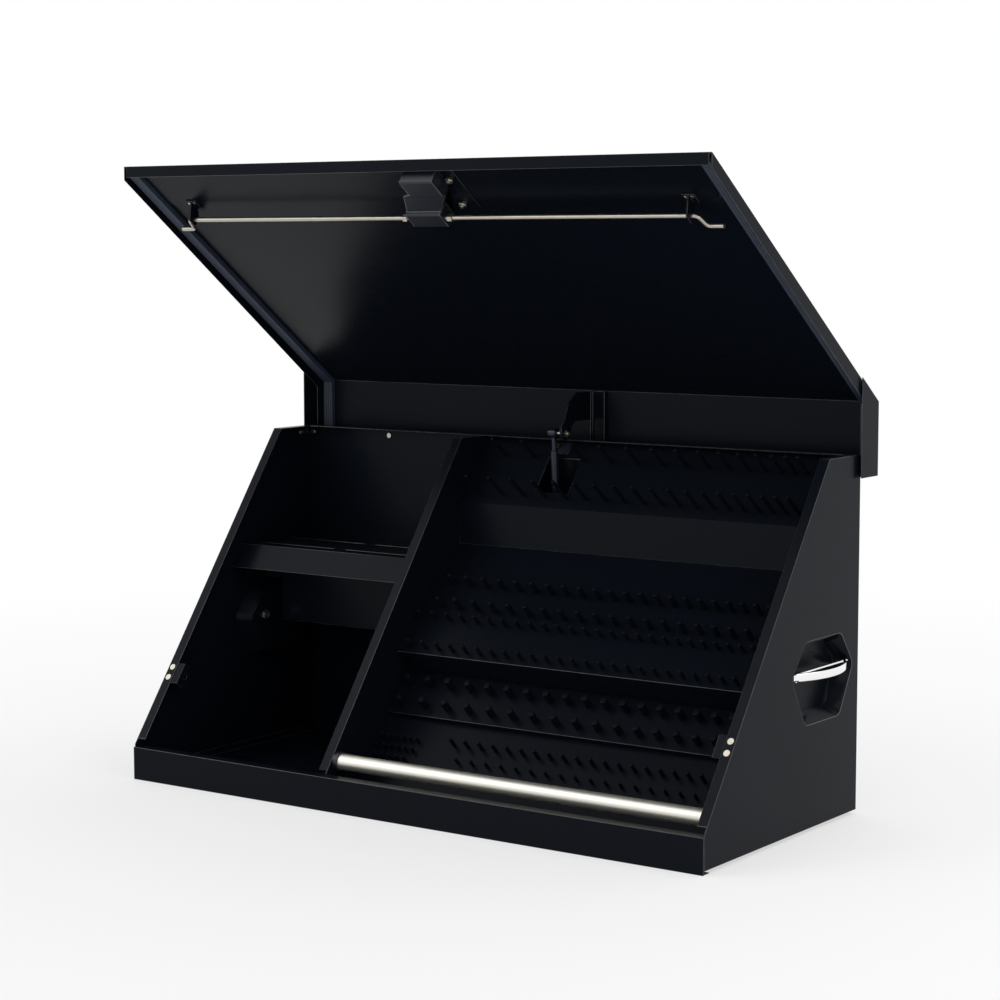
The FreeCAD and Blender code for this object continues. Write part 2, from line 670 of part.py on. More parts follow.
# Divider with its flange, below the slope by its inset
divider = new_body("divider")
inset_y = "breakY + dividerInset / slopeCos"
inset_z = "bodyHeight - (breakY + dividerInset / slopeCos - wallFrontY) / slopeTan"
top_y = f"{inset_y} - (bodyHeight - dividerTop) * slopeTan"
divider_outline = [
    ("innerRear", "floorTop"),
    ("wallFrontY", "floorTop"),
    ("wallFrontY", inset_z),
    (top_y, "dividerTop"),
    ("innerRear", "dividerTop"),
]
pad(divider, "YZ", divider_outline, "dividerLeft", "steel")
flange_low_z = "lipHeight + 4"
flange_low_y = f"{inset_y} - (bodyHeight - ({flange_low_z})) * slopeTan"
divider_flange = [
    (flange_low_y, flange_low_z),
    (top_y, "dividerTop"),
    (f"{top_y} + steel / slopeCos", "dividerTop"),
    (f"{flange_low_y} + steel / slopeCos", flange_low_z),
]
pad(divider, "YZ", divider_flange, "dividerX - wallFlange", "wallFlange")

# Screwdriver shelf and the sheet under it
shelf = new_body("screwdriver_shelf")
shelf_y = "breakY + shelfInset / slopeCos - (bodyHeight - shelfTop) * slopeTan"
shelf_outline = [
    ("innerRear", "shelfTop"),
    (shelf_y, "shelfTop"),
    (f"{shelf_y} - shelfFlange * slopeSin", "shelfTop - shelfFlange * slopeCos"),
    (
        f"{shelf_y} - shelfFlange * slopeSin + steel * slopeCos",
        "shelfTop - shelfFlange * slopeCos - steel * slopeSin",
    ),
    (f"{shelf_y} + steel * slopeMitre", "shelfTop - steel"),
    ("innerRear", "shelfTop - steel"),
]
shelf_length = "dividerLeft + innerX"
pad(shelf, "YZ", shelf_outline, "-innerX", shelf_length)
for slot_y in ("slotFrontY", "slotRearY"):
    for slot_x in ("-innerX + slotMargin", "dividerLeft - slotMargin - slotLength"):
        outline = box(
            slot_x, f"{slot_x} + slotLength", f"{slot_y} - slotWidth / 2", f"{slot_y} + slotWidth / 2",
        )
        pocket(shelf, "XY", outline, "shelfTop - steel - 0.1", "steel + 0.2")

hanger = new_body("shelf_back_sheet")
hanger_outline = box("hangerY", "hangerY + steel", "shelfTop - steel - hangerHeight", "shelfTop - steel")
pad(hanger, "YZ", hanger_outline, "-innerX", shelf_length)
notch = box(
    "-innerX - 1", "-innerX + dishDepth + nutLength + dishClear",
    "shelfTop - steel - hangerHeight - 1", "dishTopZ + dishRim + dishClear",
)
pocket(hanger, "XZ", notch, "-(hangerY + steel) - 0.1", "steel + 0.2")

# Stepped panels
panel_length = "innerX - dividerX"
wrench = new_body("wrench_panel")
bend = "(1 + cos(wrenchLean - riserLean))"
wrench_outline = [
    ("wrenchTopY", "wrenchTop"),
    ("wrenchLowY", "wrenchLowZ"),
    ("upperTopY", "upperTopZ"),
    ("upperTopY + steel * riserCos", "upperTopZ - steel * riserSin"),
    (
        f"wrenchLowY + steel * (wrenchCos + riserCos) / {bend}",
        f"wrenchLowZ - steel * (wrenchSin + riserSin) / {bend}",
    ),
    ("wrenchTopY + steel * wrenchCos", "wrenchTop - steel * wrenchSin"),
]
pad(wrench, "YZ", wrench_outline, "dividerX", panel_length)
window = box("windowLeft", "windowRight", "windowLow", "windowHigh")
pocket(wrench, "XY", window, "-steel - 0.1", "steel + 0.2", WRENCH)

upper = new_body("socket_panel_upper")
upper_outline = [
    ("upperTopY", "upperTopZ"),
    ("upperLowY", "upperLowZ"),
    ("middleTopY", "middleTopZ"),
    ("middleTopY + steel * socketSin", "middleTopZ + steel * socketCos"),
    (
        "upperLowY + steel * (socketCos + socketSin)",
        "upperLowZ + steel * (socketCos - socketSin)",
    ),
    ("upperTopY + steel * socketCos", "upperTopZ - steel * socketSin"),
]
pad(upper, "YZ", upper_outline, "dividerX", panel_length)

middle = new_body("socket_panel_middle")
middle_outline = [
    ("middleTopY", "middleTopZ"),
    ("middleLowY", "middleLowZ"),
    ("lowerTopY", "lowerTopZ"),
    ("lowerTopY + steel * socketSin", "lowerTopZ + steel * socketCos"),
    (
        "middleLowY + steel * (socketCos + socketSin)",
        "middleLowZ + steel * (socketCos - socketSin)",
    ),
    ("middleTopY + steel * socketCos", "middleTopZ - steel * socketSin"),
]
pad(middle, "YZ", middle_outline, "dividerX", panel_length)

lower = new_body("socket_panel_lower")
lower_outline = [
    ("lowerTopY", "lowerTopZ"),
    ("lowerLowY", "lowerLowZ"),
    ("lowerLowY + steel * socketCos", "lowerLowZ - steel * socketSin"),
    ("lowerTopY + steel * socketCos", "lowerTopZ - steel * socketSin"),
]
pad(lower, "YZ", lower_outline, "dividerX", f"{panel_length} - steel")


# Rows of pegs: first peg, last peg, count, height up the panel, radius and length.
# The pitch shrinks evenly along a row by the given drop.
def peg_row(first, last, count, up, radius, length, drop=0.0):
    steps = count - 1
    pegs = []
    for i in range(count):
        share = i / steps
        bow = drop * i * (steps - i) / 2
        along = f"{first} + ({last} - ({first})) * {share:.6f} + {bow:.4f}"
        pegs.append(rod_z(radius, along, up, "0", length))
    return pegs


wrench_peg = ("wrenchPegRadius", "wrenchPegLength")
wrench_rows = peg_row("dividerX + 28.7", "innerX - 64.1", 19, "wrenchRowLow", *wrench_peg, 1.34)
wrench_rows += peg_row("dividerX + 48.9", "windowLeft - 28.7", 2, "wrenchRowHigh", *wrench_peg)
wrench_rows += peg_row("windowRight + 6", "innerX - 71.3", 12, "wrenchRowHigh - 2", *wrench_peg, 3.15)
keep(group(wrench_rows), "wrench_pegs", WRENCH)
large_peg = ("largePegRadius", "largePegLength")
upper_rows = peg_row("dividerX + 36.5", "innerX - 61.3", 22, "upperRowA", *large_peg, 0.5)
upper_rows += peg_row("dividerX + 37.5", "innerX - 52.3", 20, "upperRowB", *large_peg, 0.4)
small_peg = ("smallPegRadius", "smallPegLength")
upper_rows += peg_row("dividerX + 9.5", "innerX - 61.3", 26, "upperRowC", *small_peg, 0.3)
upper_rows += peg_row("dividerX + 22.5", "innerX - 45.3", 26, "upperRowD", *small_peg, 0.2)
keep(group(upper_rows), "socket_pegs_upper", UPPER)
wide_peg = ("widePegRadius", "widePegLength")
middle_rows = peg_row("dividerX + 14.5", "innerX - 73.3", 18, "middleRowA", *wide_peg, 0.6)
middle_rows += peg_row("dividerX + 19.5", "innerX - 87.3", 16, "middleRowB", *wide_peg, 0.9)
keep(group(middle_rows), "socket_pegs_middle", MIDDLE)
thin_peg = ("thinPegRadius", "thinPegLength")
lower_rows = peg_row("dividerX + 142.5", "innerX - 65.3", 20, "-lowerRowA", *small_peg, 0.2)
lower_rows += peg_row("dividerX + 165.5", "innerX - 63.3", 18, "-lowerRowD", *thin_peg, 0.2)
lower_rows += peg_row("dividerX + 11.5", "dividerX + 77.5", 6, "-lowerRowB", *thin_peg)
lower_rows += peg_row("dividerX + 11.5", "dividerX + 77.5", 6, "-lowerRowC", *thin_peg)
lower_rows += peg_row("dividerX + 17.5", "dividerX + 71.5", 5, "-lowerRowE", *thin_peg)
keep(group(lower_rows), "socket_pegs_lower", LOWER)

# Plate with a boss on the wrench panel
boss_plate = new_body("boss_plate", WRENCH)
boss_box = box(
    "bossPlateLeft", "bossPlateLeft + bossPlateWidth", "bossPlateLow", "bossPlateLow + bossPlateHeight",
)
pad(boss_plate, "XY", boss_box, "0", "2")
boss_spot = [("bossPlateLeft + bossRadius + 1.5", "bossPlateLow + bossPlateHeight / 2")]
pad_rounds(boss_plate, "XY", boss_spot, "bossRadius", "1", "bossHeight + 1")

# Retaining tube and its cups
tube_span = "innerX - dividerX"
tube = cut(
    rod_x("tubeRadius", "dividerX", tube_span, "tubeY", "tubeZ"),
    rod_x("tubeRadius - tubeWall", "dividerX - 1", f"{tube_span} + 2", "tubeY", "tubeZ"),
)
keep(tube, "retaining_tube")
cups = []
for start in ("dividerX", "innerX - cupLength"):
    ring = rod_x("tubeRadius + cupWall", start, "cupLength", "tubeY", "tubeZ")
    hole = rod_x("tubeRadius", f"{start} - 1", "cupLength + 2", "tubeY", "tubeZ")
    cups.append(cut(ring, hole))
keep(group(cups), "tube_cups")


# Strikers for the rod tips, with two bolts each
def striker(name, side):
    piece = new_body(name, SLOPE)
    inner = "halfWidth - strikerReach"
    down = f"({striker_down})"
    foot = box(inner, "innerX", f"{down} - strikerHalf", f"{down} + strikerHalf")
    if side < 0:
        foot = box("-innerX", f"-({inner})", f"{down} - strikerHalf", f"{down} + strikerHalf")
    pad(piece, "XY", foot, "steel", "strikerSteel")
    catch = box(f"{down} - strikerHalf", f"{down} + strikerHalf", "steel", "strikerDeep")
    start = inner if side > 0 else f"-({inner}) - catchSteel"
    pad(piece, "YZ", catch, start, "catchSteel")
    tip_hole = [(down, "rodDepth - lidGap")]
    bore(piece, "YZ", tip_hole, "strikerHole", f"{start} - 0.1", "catchSteel + 0.2")
    bolt_x = striker_bolt_x if side > 0 else f"-({striker_bolt_x})"
    bolt_holes = [(bolt_x, y) for y in striker_bolt_y]
    bore(piece, "XY", bolt_holes, "boltRadius + boltGap", "steel - 0.1", "strikerSteel + 0.2")
    return piece


striker("left_latch_striker", -1)
striker("right_latch_striker", 1)
bolts = []
for bolt_x in (striker_bolt_x, f"-({striker_bolt_x})"):
    for y in striker_bolt_y:
        head = rod_z("boltHead", bolt_x, y, "-boltHeadHeight", "boltHeadHeight")
        shank_length = "boltHeadHeight / 2 + steel + strikerSteel + boltNutHeight + boltTail"
        shank = rod_z("boltRadius", bolt_x, y, "-boltHeadHeight / 2", shank_length)
        nut = hex_z("boltNut", bolt_x, y, "steel + strikerSteel", "boltNutHeight")
        bolts.append(fuse([head, shank, nut]))
keep(group(bolts), "striker_bolts", SLOPE)


# Handle dishes, handles and their nuts
def handle_dish(name, side):
    dish = new_body(name)
    face = "innerX" if side > 0 else "-innerX"
    sign = "-" if side > 0 else "+"
    deep = "dishDepth - steel"
    sections = []
    for taper, depth in (("-steel", "0"), ("dishTaper - steel", deep)):
        sketch = new_sketch(dish, "YZ", f"{face} {sign} ({depth})")
        polygon(sketch, dish_outline(taper))
        sections.append(sketch)
    loft = dish.newObject("PartDesign::AdditiveLoft", "loft")
    loft.Profile = sections[0]
    loft.Sections = [sections[1]]
    loft.Ruled = True
    doc.recompute()
    if side > 0:
        pad(dish, "YZ", dish_outline("-dishRim"), "innerX - steel", "steel")
    else:
        pad(dish, "YZ", dish_outline("-dishRim"), "-innerX", "steel")
    inner_sections = []
    for taper, depth in (("0", "0"), ("dishTaper", f"{deep} - steel")):
        sketch = new_sketch(dish, "YZ", f"{face} {sign} ({depth})")
        polygon(sketch, dish_outline(taper))
        inner_sections.append(sketch)
    before = dish.Shape.Volume
    hollow = dish.newObject("PartDesign::SubtractiveLoft", "hollow")
    hollow.Profile = inner_sections[0]
    hollow.Sections = [inner_sections[1]]
    hollow.Ruled = True
    doc.recompute()
    if not dish.Shape.Volume < before / 2:
        raise ValueError(f"{name}: the dish isn't hollow")

    def slanted(edge):
        span = edge.Vertexes[-1].Point - edge.Vertexes[0].Point
        straight = abs(span.Length - edge.Length) < 1e-4
        return straight and 0.5 < abs(span.x) / edge.Length < 0.99

    soften(dish, "dishCorner", slanted)
    start = f"innerX - ({deep}) - 0.1" if side > 0 else f"-innerX + {deep} - steel - 0.1"
    posts = [("gripFrontY + postInset", "gripZ"), ("gripRearY - postInset", "gripZ")]
    bore(dish, "YZ", posts, "postRadius + boltGap", start, "steel + 0.2")
    return dish


def side_handle(name, side):
    grip = new_body(name)
    chord = value("gripRearY - gripFrontY")
    bulge = value("gripBulge")
    radius = (chord * chord / 4 + bulge * bulge) / (2 * bulge)
    edge_x = value("halfWidth - gripSetback")
    middle_y = value("(gripRearY + gripFrontY) / 2")
    sketch = new_sketch(grip, "XY", "gripZ - gripThick / 2")
    spots = [Vector(side * edge_x, value("gripFrontY"), 0), Vector(side * edge_x, value("gripRearY"), 0)]
    top = Vector(side * (edge_x + bulge), middle_y, 0)
    line = sketch.addGeometry(Part.LineSegment(spots[0], spots[1]), False)
    arc = sketch.addGeometry(Part.Arc(spots[0], top, spots[1]), False)
    starts_first = (sketch.getPoint(arc, 1) - spots[0]).Length < 1e-6
    ends = (1, 2) if starts_first else (2, 1)
    sketch.addConstraint(Sketcher.Constraint("Coincident", line, 1, arc, ends[0]))
    sketch.addConstraint(Sketcher.Constraint("Coincident", line, 2, arc, ends[1]))
    edge_text = "halfWidth - gripSetback" if side > 0 else "-(halfWidth - gripSetback)"
    pin_down(sketch, "DistanceX", line, 1, edge_text, spots[0].x)
    pin_down(sketch, "DistanceY", line, 1, "gripFrontY", spots[0].y)
    pin_down(sketch, "DistanceX", line, 2, edge_text, spots[1].x)
    pin_down(sketch, "DistanceY", line, 2, "gripRearY", spots[1].y)
    bound = sketch.addConstraint(Sketcher.Constraint("Radius", arc, radius))
    sketch.renameConstraint(bound, "arcRadius")
    arc_text = "((gripRearY - gripFrontY)^2 / 4 + gripBulge^2) / (2 * gripBulge)"
    sketch.setExpression("Constraints.arcRadius", bind(arc_text))
    grow(grip, sketch, "gripThick")
    back_x = "innerX - dishDepth - nutLength" if side > 0 else "-(halfWidth - gripSetback + 0.5)"
    post_length = "halfWidth - gripSetback + 0.5 - (innerX - dishDepth - nutLength)"
    posts = [("gripFrontY + postInset", "gripZ"), ("gripRearY - postInset", "gripZ")]
    pad_rounds(grip, "YZ", posts, "postRadius", back_x, post_length)
    return grip


handle_dish("left_handle_dish", -1)
handle_dish("right_handle_dish", 1)
side_handle("left_side_handle", -1)
side_handle("right_side_handle", 1)
nuts = []
for side in (-1, 1):
    for y in ("gripFrontY + postInset", "gripRearY - postInset"):
        x = "innerX - dishDepth - nutLength" if side > 0 else "-(innerX - dishDepth + steel)"
        nut = hex_x("nutCorner", x, "nutLength + steel", y, "gripZ")
        nuts.append(cut(nut, rod_x("postRadius", f"{x} - 1", "nutLength + steel + 2", y, "gripZ")))
keep(group(nuts), "handle_nuts")

# Hinge: both leaves with their knuckles, and the pin
hinge_start = "-(halfWidth - hingeInset)"
hinge_span = "2 * (halfWidth - hingeInset)"
KNUCKLES = 20
pitch = f"({hinge_span}) / {KNUCKLES}"


def hinge_leaf(leaf, first, tab_y, tab_z, axis_y, axis_z, frame, name):
    pieces = [leaf]
    for i in range(first, KNUCKLES, 2):
        x = f"{hinge_start} + {i} * {pitch} + knuckleGap / 2"
        length = f"{pitch} - knuckleGap"
        pieces.append(rod_x("knuckleRadius", x, length, axis_y, axis_z))
        pieces.append(block(x, tab_y, tab_z, length, "steel", "knuckleRadius + leafGap + 0.5"))
    hole = rod_x("pinRadius + pinGap", f"{hinge_start} - 1", f"{hinge_span} + 2", axis_y, axis_z)
    keep(cut(fuse(pieces), hole), name, frame)


body_leaf = block(
    hinge_start, "rearY", "hingeZ - leafReach", hinge_span, "steel", "leafReach - knuckleRadius - leafGap",
)
hinge_leaf(
    body_leaf, 0, "rearY", "hingeZ - knuckleRadius - leafGap - 0.5", "hingeY", "hingeZ", WORLD,
    "hinge_body_leaf",
)
lid_leaf = block(
    hinge_start, "lidRearY - 2 * steel", "hingeZ + knuckleRadius + leafGap", hinge_span, "steel",
    "leafReach - knuckleRadius - leafGap",
)
hinge_leaf(
    lid_leaf, 1, "lidRearY - 2 * steel", "hingeZ", "hingeY", "hingeZ", LID, "hinge_lid_leaf",
)
keep(rod_x("pinRadius", hinge_start, hinge_span, "hingeY", "hingeZ"), "hinge_pin")

# Lid shell in the shut position, set up by its frame
lid = new_body("lid_shell", LID)
lid_ribbon = [
    ("lidFrontY", "foldZ"),
    ("lidBreakY", "lidTopZ"),
    ("lidRearY", "lidTopZ"),
    ("lidRearY", "lidRearZ"),
    ("lidRearY - steel", "lidRearZ"),
    ("lidRearY - steel", "lidTopZ - steel"),
    ("lidBreakY + steel * slopeMitre", "lidTopZ - steel"),
    ("lidFrontY + steel / slopeCos", "foldZ"),
]
pad(lid, "YZ", lid_ribbon, "-lidHalf", "2 * lidHalf")
fold = box("lidFrontY + steel", "lidFrontY + foldDepth", "foldZ", "foldZ + steel")
pad(lid, "YZ", fold, "-(lidHalf - foldInset)", "2 * (lidHalf - foldInset)")
skirt = [
    ("lidFrontY", "foldZ"),
    ("lidBreakY", "lidTopZ"),
    ("lidRearY", "lidTopZ"),
    ("lidRearY", "skirtBendZ"),
    ("skirtBendY", "skirtBendZ"),
    ("skirtFootY", "foldZ"),
]
pad(lid, "YZ", skirt, "-lidHalf", "steel")
pad(lid, "YZ", skirt, "lidHalf - steel", "steel")
CLOSED_PANEL = ("lidBreakY", "lidTopZ", "-(90 + slopeLean)")
bore(lid, "XY", [("camX", "rodDown")], "spindleRadius + pinGap", "-0.1", "steel + 0.2", CLOSED_PANEL)

# Cheeks at the rear corners of the lid
cheek_outline = [
    ("lidBreakY", "lidTopZ"),
    ("lidRearY", "lidTopZ"),
    ("lidRearY", "lidTopZ - cheekDepth"),
    ("lidBreakY - cheekDepth * slopeTan", "lidTopZ - cheekDepth"),
]
hem_outline = box("lidBreakY", "lidRearY", "lidTopZ - cheekHem", "lidTopZ")
for name, side in (("lid_left_cheek", -1), ("lid_right_cheek", 1)):
    cheek = new_body(name, LID)
    if side > 0:
        pad(cheek, "YZ", cheek_outline, "lidHalf + cheekStandoff", "steel")
        pad(cheek, "YZ", hem_outline, "lidHalf", "cheekStandoff")
    else:
        pad(cheek, "YZ", cheek_outline, "-(lidHalf + cheekStandoff + steel)", "steel")
        pad(cheek, "YZ", hem_outline, "-(lidHalf + cheekStandoff)", "cheekStandoff")

# Lid seals
seal_outline = [
    (
        "lidFrontY + sealStart * slopeSin + steel * slopeCos",
        "foldZ + sealStart * slopeCos - steel * slopeSin",
    ),
    ("lidBreakY + steel * slopeMitre", "lidTopZ - steel"),
    ("rearY", "lidTopZ - steel"),
    ("rearY", "lidTopZ - sealUnder"),
    ("lidBreakY + sealUnder * slopeMitre", "lidTopZ - sealUnder"),
    (
        "lidFrontY + sealStart * slopeSin + sealUnder * slopeCos",
        "foldZ + sealStart * slopeCos - sealUnder * slopeSin",
    ),
]
for name, start in (("lid_seal_left", "-sealOuter"), ("lid_seal_right", "sealInner")):
    seal = new_body(name, LID)
    pad(seal, "YZ", seal_outline, start, "sealWidth")
rear_seal = new_body("lid_seal_rear", LID)
rear_outline = box("rearY - sealWidth", "rearY", "lidTopZ - sealUnder", "lidTopZ - steel")
pad(rear_seal, "YZ", rear_outline, "-sealInner", "2 * sealInner")

# Front stiffener of the lid
stiffener = new_body("lid_front_stiffener", PANEL)
stiffener_outline = box("-stiffenerHalf", "stiffenerHalf", "stiffenerTop", "lidLength - stiffenerFront")
pad(stiffener, "XY", stiffener_outline, "steel", "steel")
soften(stiffener, "stiffenerCorner", lambda edge: runs_along(edge, Vector(0, 0, 1)))

# Latch base plate, cover and the nuts beside it
plate_low = "2 * steel"
plate_top = "2 * steel + plateThick"
base_plate = new_body("latch_base_plate", PANEL)
plate_outline = [
    ("camX - coverHalf - 4", "rodDown - coverReach - 4"),
    ("camX + coverHalf + 8", "rodDown - coverReach - 4"),
    ("camX + coverTopRight + 23", "rodDown - coverReach + 12"),
    ("camX + coverTopRight + 23", "rodDown + coverTopHigh - 9"),
    ("camX + coverTopRight + 1", "rodDown + coverTopHigh + 7"),
    ("camX + coverTopLeft - 5", "rodDown + coverTopHigh + 7"),
    ("camX + coverTopLeft - 23", "rodDown + coverTopLow"),
    ("camX - coverHalf - 4", "rodDown + coverReach + 5"),
]
pad(base_plate, "XY", plate_outline, plate_low, "plateThick")
spindle_spot = [("camX", "rodDown")]
bore(base_plate, "XY", spindle_spot, "spindleRadius + pinGap", f"{plate_low} - 0.1", "plateThick + 0.2")

cover = new_body("latch_cover", PANEL)
low_block = box("camX - coverHalf", "camX + coverHalf", "rodDown - coverReach", "rodDown + coverReach")
neck_outline = [
    ("camX - coverHalf", "rodDown + coverReach - 2"),
    ("camX + coverHalf", "rodDown + coverReach - 2"),
    ("camX + coverTopRight - 1", "rodDown + coverTopLow - 4"),
    ("camX + coverTopRight", "rodDown + coverTopLow + 2"),
    ("camX + coverTopLeft", "rodDown + coverTopLow + 2"),
    ("camX + coverTopLeft - 18", "rodDown + coverTopLow - 4"),
]
high_block = box(
    "camX + coverTopLeft", "camX + coverTopRight", "rodDown + coverTopLow", "rodDown + coverTopHigh",
)
cover_height = "rodDepth + 6.5 - (2 * steel + plateThick)"
pad(cover, "XY", low_block, plate_top, cover_height)
pad(cover, "XY", neck_outline, plate_top, f"{cover_height} - 6")
pad(cover, "XY", high_block, plate_top, f"{cover_height} - 1")


def on_top_edge(edge):
    if not isinstance(edge.Curve, Part.Line):
        return False
    centre = edge.CenterOfMass
    high = centre.z > value(plate_top) + value(cover_height) - 1.5
    return high and runs_along(edge, Vector(1, 0, 0))


soften(cover, "3.5", on_top_edge)
low_room = box(
    "camX - coverHalf + coverWall", "camX + coverHalf - coverWall",
    "rodDown - coverReach + coverWall", "rodDown + coverReach - coverWall",
)
pocket(cover, "XY", low_room, f"{plate_top} - 0.1", f"{cover_height} - coverWall + 0.1")
high_room = box(
    "camX + coverTopLeft + coverWall", "camX + coverTopRight - coverWall",
    "rodDown + coverTopLow + coverWall", "rodDown + coverTopHigh - coverWall",
)
pocket(cover, "XY", high_room, f"{plate_top} - 0.1", f"{cover_height} - coverWall - 1 + 0.1")
rod_holes = [("rodDown", "rodDepth")]
bore(cover, "YZ", rod_holes, "rodRadius + pinGap", "camX - coverHalf - 0.1", "2 * coverHalf + 0.2")

beside = []
for x, y in (
    ("camX + coverTopRight + 9", "rodDown + coverTopHigh - 24"),
    ("camX + coverHalf + 30", "rodDown + coverReach - 5"),
):
    nut = hex_z("6.5", x, y, plate_top, "5")
    tail = rod_z("3", x, y, plate_top, "8")
    beside.append(fuse([nut, tail]))
keep(group(beside), "latch_nuts", PANEL)

# Rod guides on the stiffener, each with two rivets
guide_rivets = []
for name, side in (("left_rod_guide", -1), ("right_rod_guide", 1)):
    guide = new_body(name, PANEL)
    start = "guideAt - 1" if side > 0 else "-guideAt - 1"
    upright = [
        ("rodDown - 7", "rodDepth - 7"),
        ("rodDown + 5", "2 * steel"),
        ("rodDown + 24", "2 * steel"),
        ("rodDown + 9", "rodDepth + 8"),
        ("rodDown - 7", "rodDepth + 8"),
    ]
    pad(guide, "YZ", upright, start, "2")
    base_start = "guideAt - 10" if side > 0 else "-guideAt - 10"
    base = box(base_start, f"{base_start} + 20", "rodDown + 5", "rodDown + 24")
    pad(guide, "XY", base, "2 * steel", "2")
    bore(guide, "YZ", [("rodDown", "rodDepth")], "rodRadius + pinGap", f"{start} - 0.1", "2.2")
    for shift in ("5", "-5"):
        x = f"{base_start} + 10 + {shift}"
        guide_rivets.append(rod_z("2.5", x, "rodDown + 19", "2 * steel + 2", "1.2"))
keep(group(guide_rivets), "guide_rivets", PANEL)

# Outside escutcheon, handle with its spindle, and lock cylinder
spindle_x = "camX"
plate = rod_z("escutcheonRadius", spindle_x, "rodDown", "-escutcheonThick", "escutcheonThick")
plate_hole = rod_z(
    "spindleRadius + pinGap", spindle_x, "rodDown", "-escutcheonThick - 1", "escutcheonThick + 2",
)
keep(cut(plate, plate_hole), "latch_escutcheon", PANEL)
handle_out = "-(escutcheonThick + 0.3 + handleThick)"
bar = new_body("latch_handle", PANEL)
bar_outline = box(
    "camX - handleLength / 2", "camX + handleLength / 2", "rodDown - handleWidth / 2",
    "rodDown + handleWidth / 2",
)
pad(bar, "XY", bar_outline, handle_out, "handleThick")
soften(bar, "handleWidth / 2 - 0.5", lambda edge: runs_along(edge, Vector(0, 0, 1)))
spindle_length = "escutcheonThick + 0.3 + 2 * steel + 4"
pad_rounds(bar, "XY", spindle_spot, "spindleRadius", "-(escutcheonThick + 0.3) - 1", f"{spindle_length} + 1")
bore(bar, "XY", spindle_spot, "lockRadius + pinGap", f"{handle_out} - 0.1", "handleThick - 1.9")
lock = cut(
    rod_z("lockRadius", "camX", "rodDown", f"{handle_out} - 0.5", "handleThick - 2"),
    block("camX - 4", "rodDown - 0.8", f"{handle_out} - 1", "8", "1.6", "3"),
)
keep(lock, "lock_cylinder", PANEL)

# Cam with its two pins at the end of the spindle
cam_low = "2 * steel + 4"
pin_reach = "camPinOrbit * sin(camTurn / 2)"
pin_rise = "camPinOrbit * cos(camTurn / 2)"
cam_disc = rod_z("camRadius", "camX", "rodDown", cam_low, "4")
pin_a = rod_z("camPinRadius", f"camX + {pin_reach}", f"rodDown + {pin_rise}", cam_low, "rodDepth - 2 - (2 * steel + 4)")
pin_b = rod_z("camPinRadius", f"camX - {pin_reach}", f"rodDown - {pin_rise}", cam_low, "rodDepth - 2 - (2 * steel + 4)")
keep(fuse([cam_disc, pin_a, pin_b]), "latch_cam", PANEL)


# Latch rods: a bent round bar with a slotted blade on one cam pin
def latch_rod(name, side):
    radius = value("rodRadius")
    depth = value("rodDepth")
    down = value("rodDown")
    inner = value("camX") + side * value("rodEnd")
    corners = [
        Vector(inner, down, depth),
        Vector(side * value("bendInner"), down, depth),
        Vector(side * value("bendOuter"), value("tipDown"), depth),
        Vector(side * value("tipReach"), value("tipDown"), depth),
    ]
    edges = []
    here = corners[0]
    for i in (1, 2):
        before = (corners[i - 1] - corners[i]).normalize()
        after = (corners[i + 1] - corners[i]).normalize()
        half = before.getAngle(after) / 2
        back = value("bendRadius") / math.tan(half)
        middle = (before + after).normalize()
        centre = corners[i] + middle * (value("bendRadius") / math.sin(half))
        first = corners[i] + before * back
        last = corners[i] + after * back
        edges.append(Part.LineSegment(here, first).toShape())
        edges.append(Part.Arc(first, centre - middle * value("bendRadius"), last).toShape())
        here = last
    edges.append(Part.LineSegment(here, corners[3]).toShape())
    ring = Part.Wire([Part.Circle(corners[0], Vector(1, 0, 0), radius).toShape()])
    bar = Part.Wire(edges).makePipeShell([ring], True, True)
    pin_x = value("camX") - side * value(pin_reach)
    pin_y = down - side * value(pin_rise)
    rod_side = inner + side * value("bladeLap")
    tip = pin_x - side * value("bladeTip")
    far = down - side * value("bladeFar")
    near = down - side * value("bladeNear")
    rise = down + side * value("bladeRise")
    root = rod_side - side * value("bladeRoot")
    face = depth - value("bladeDrop")
    outline = [(rod_side, rise), (root, rise), (root, near), (tip, near), (tip, far), (rod_side, far)]
    blade = [Vector(x, y, face) for x, y in outline]
    plate = Part.Face(Part.makePolygon(blade + [blade[0]])).extrude(Vector(0, 0, value("bladeThick")))
    reach = value("camPinRadius + slotGap")
    low = min(down - side * value("camPinOrbit"), pin_y) - reach
    high = max(down - side * value("camPinOrbit"), pin_y) + reach
    corner = Vector(pin_x - reach, low, face - 0.5)
    slot = Part.makeBox(2 * reach, high - low, value("bladeThick") + 1, corner)
    rod = doc.addObject("Part::Feature", name)
    rod.Shape = bar.fuse(plate.cut(slot)).removeSplitter()
    keep(rod, name, PANEL)
    nut_x = "camX + rodNutAt" if side > 0 else "camX - rodNutAt - rodNutLength"
    nut = hex_x("rodNutAcross / 2", nut_x, "rodNutLength", "rodDown", "rodDepth")
    hole = rod_x("rodRadius", f"{nut_x} - 1", "rodNutLength + 2", "rodDown", "rodDepth")
    keep(cut(nut, hole), name.replace("latch_rod", "rod_nut"), PANEL)


latch_rod("left_latch_rod", -1)
latch_rod("right_latch_rod", 1)

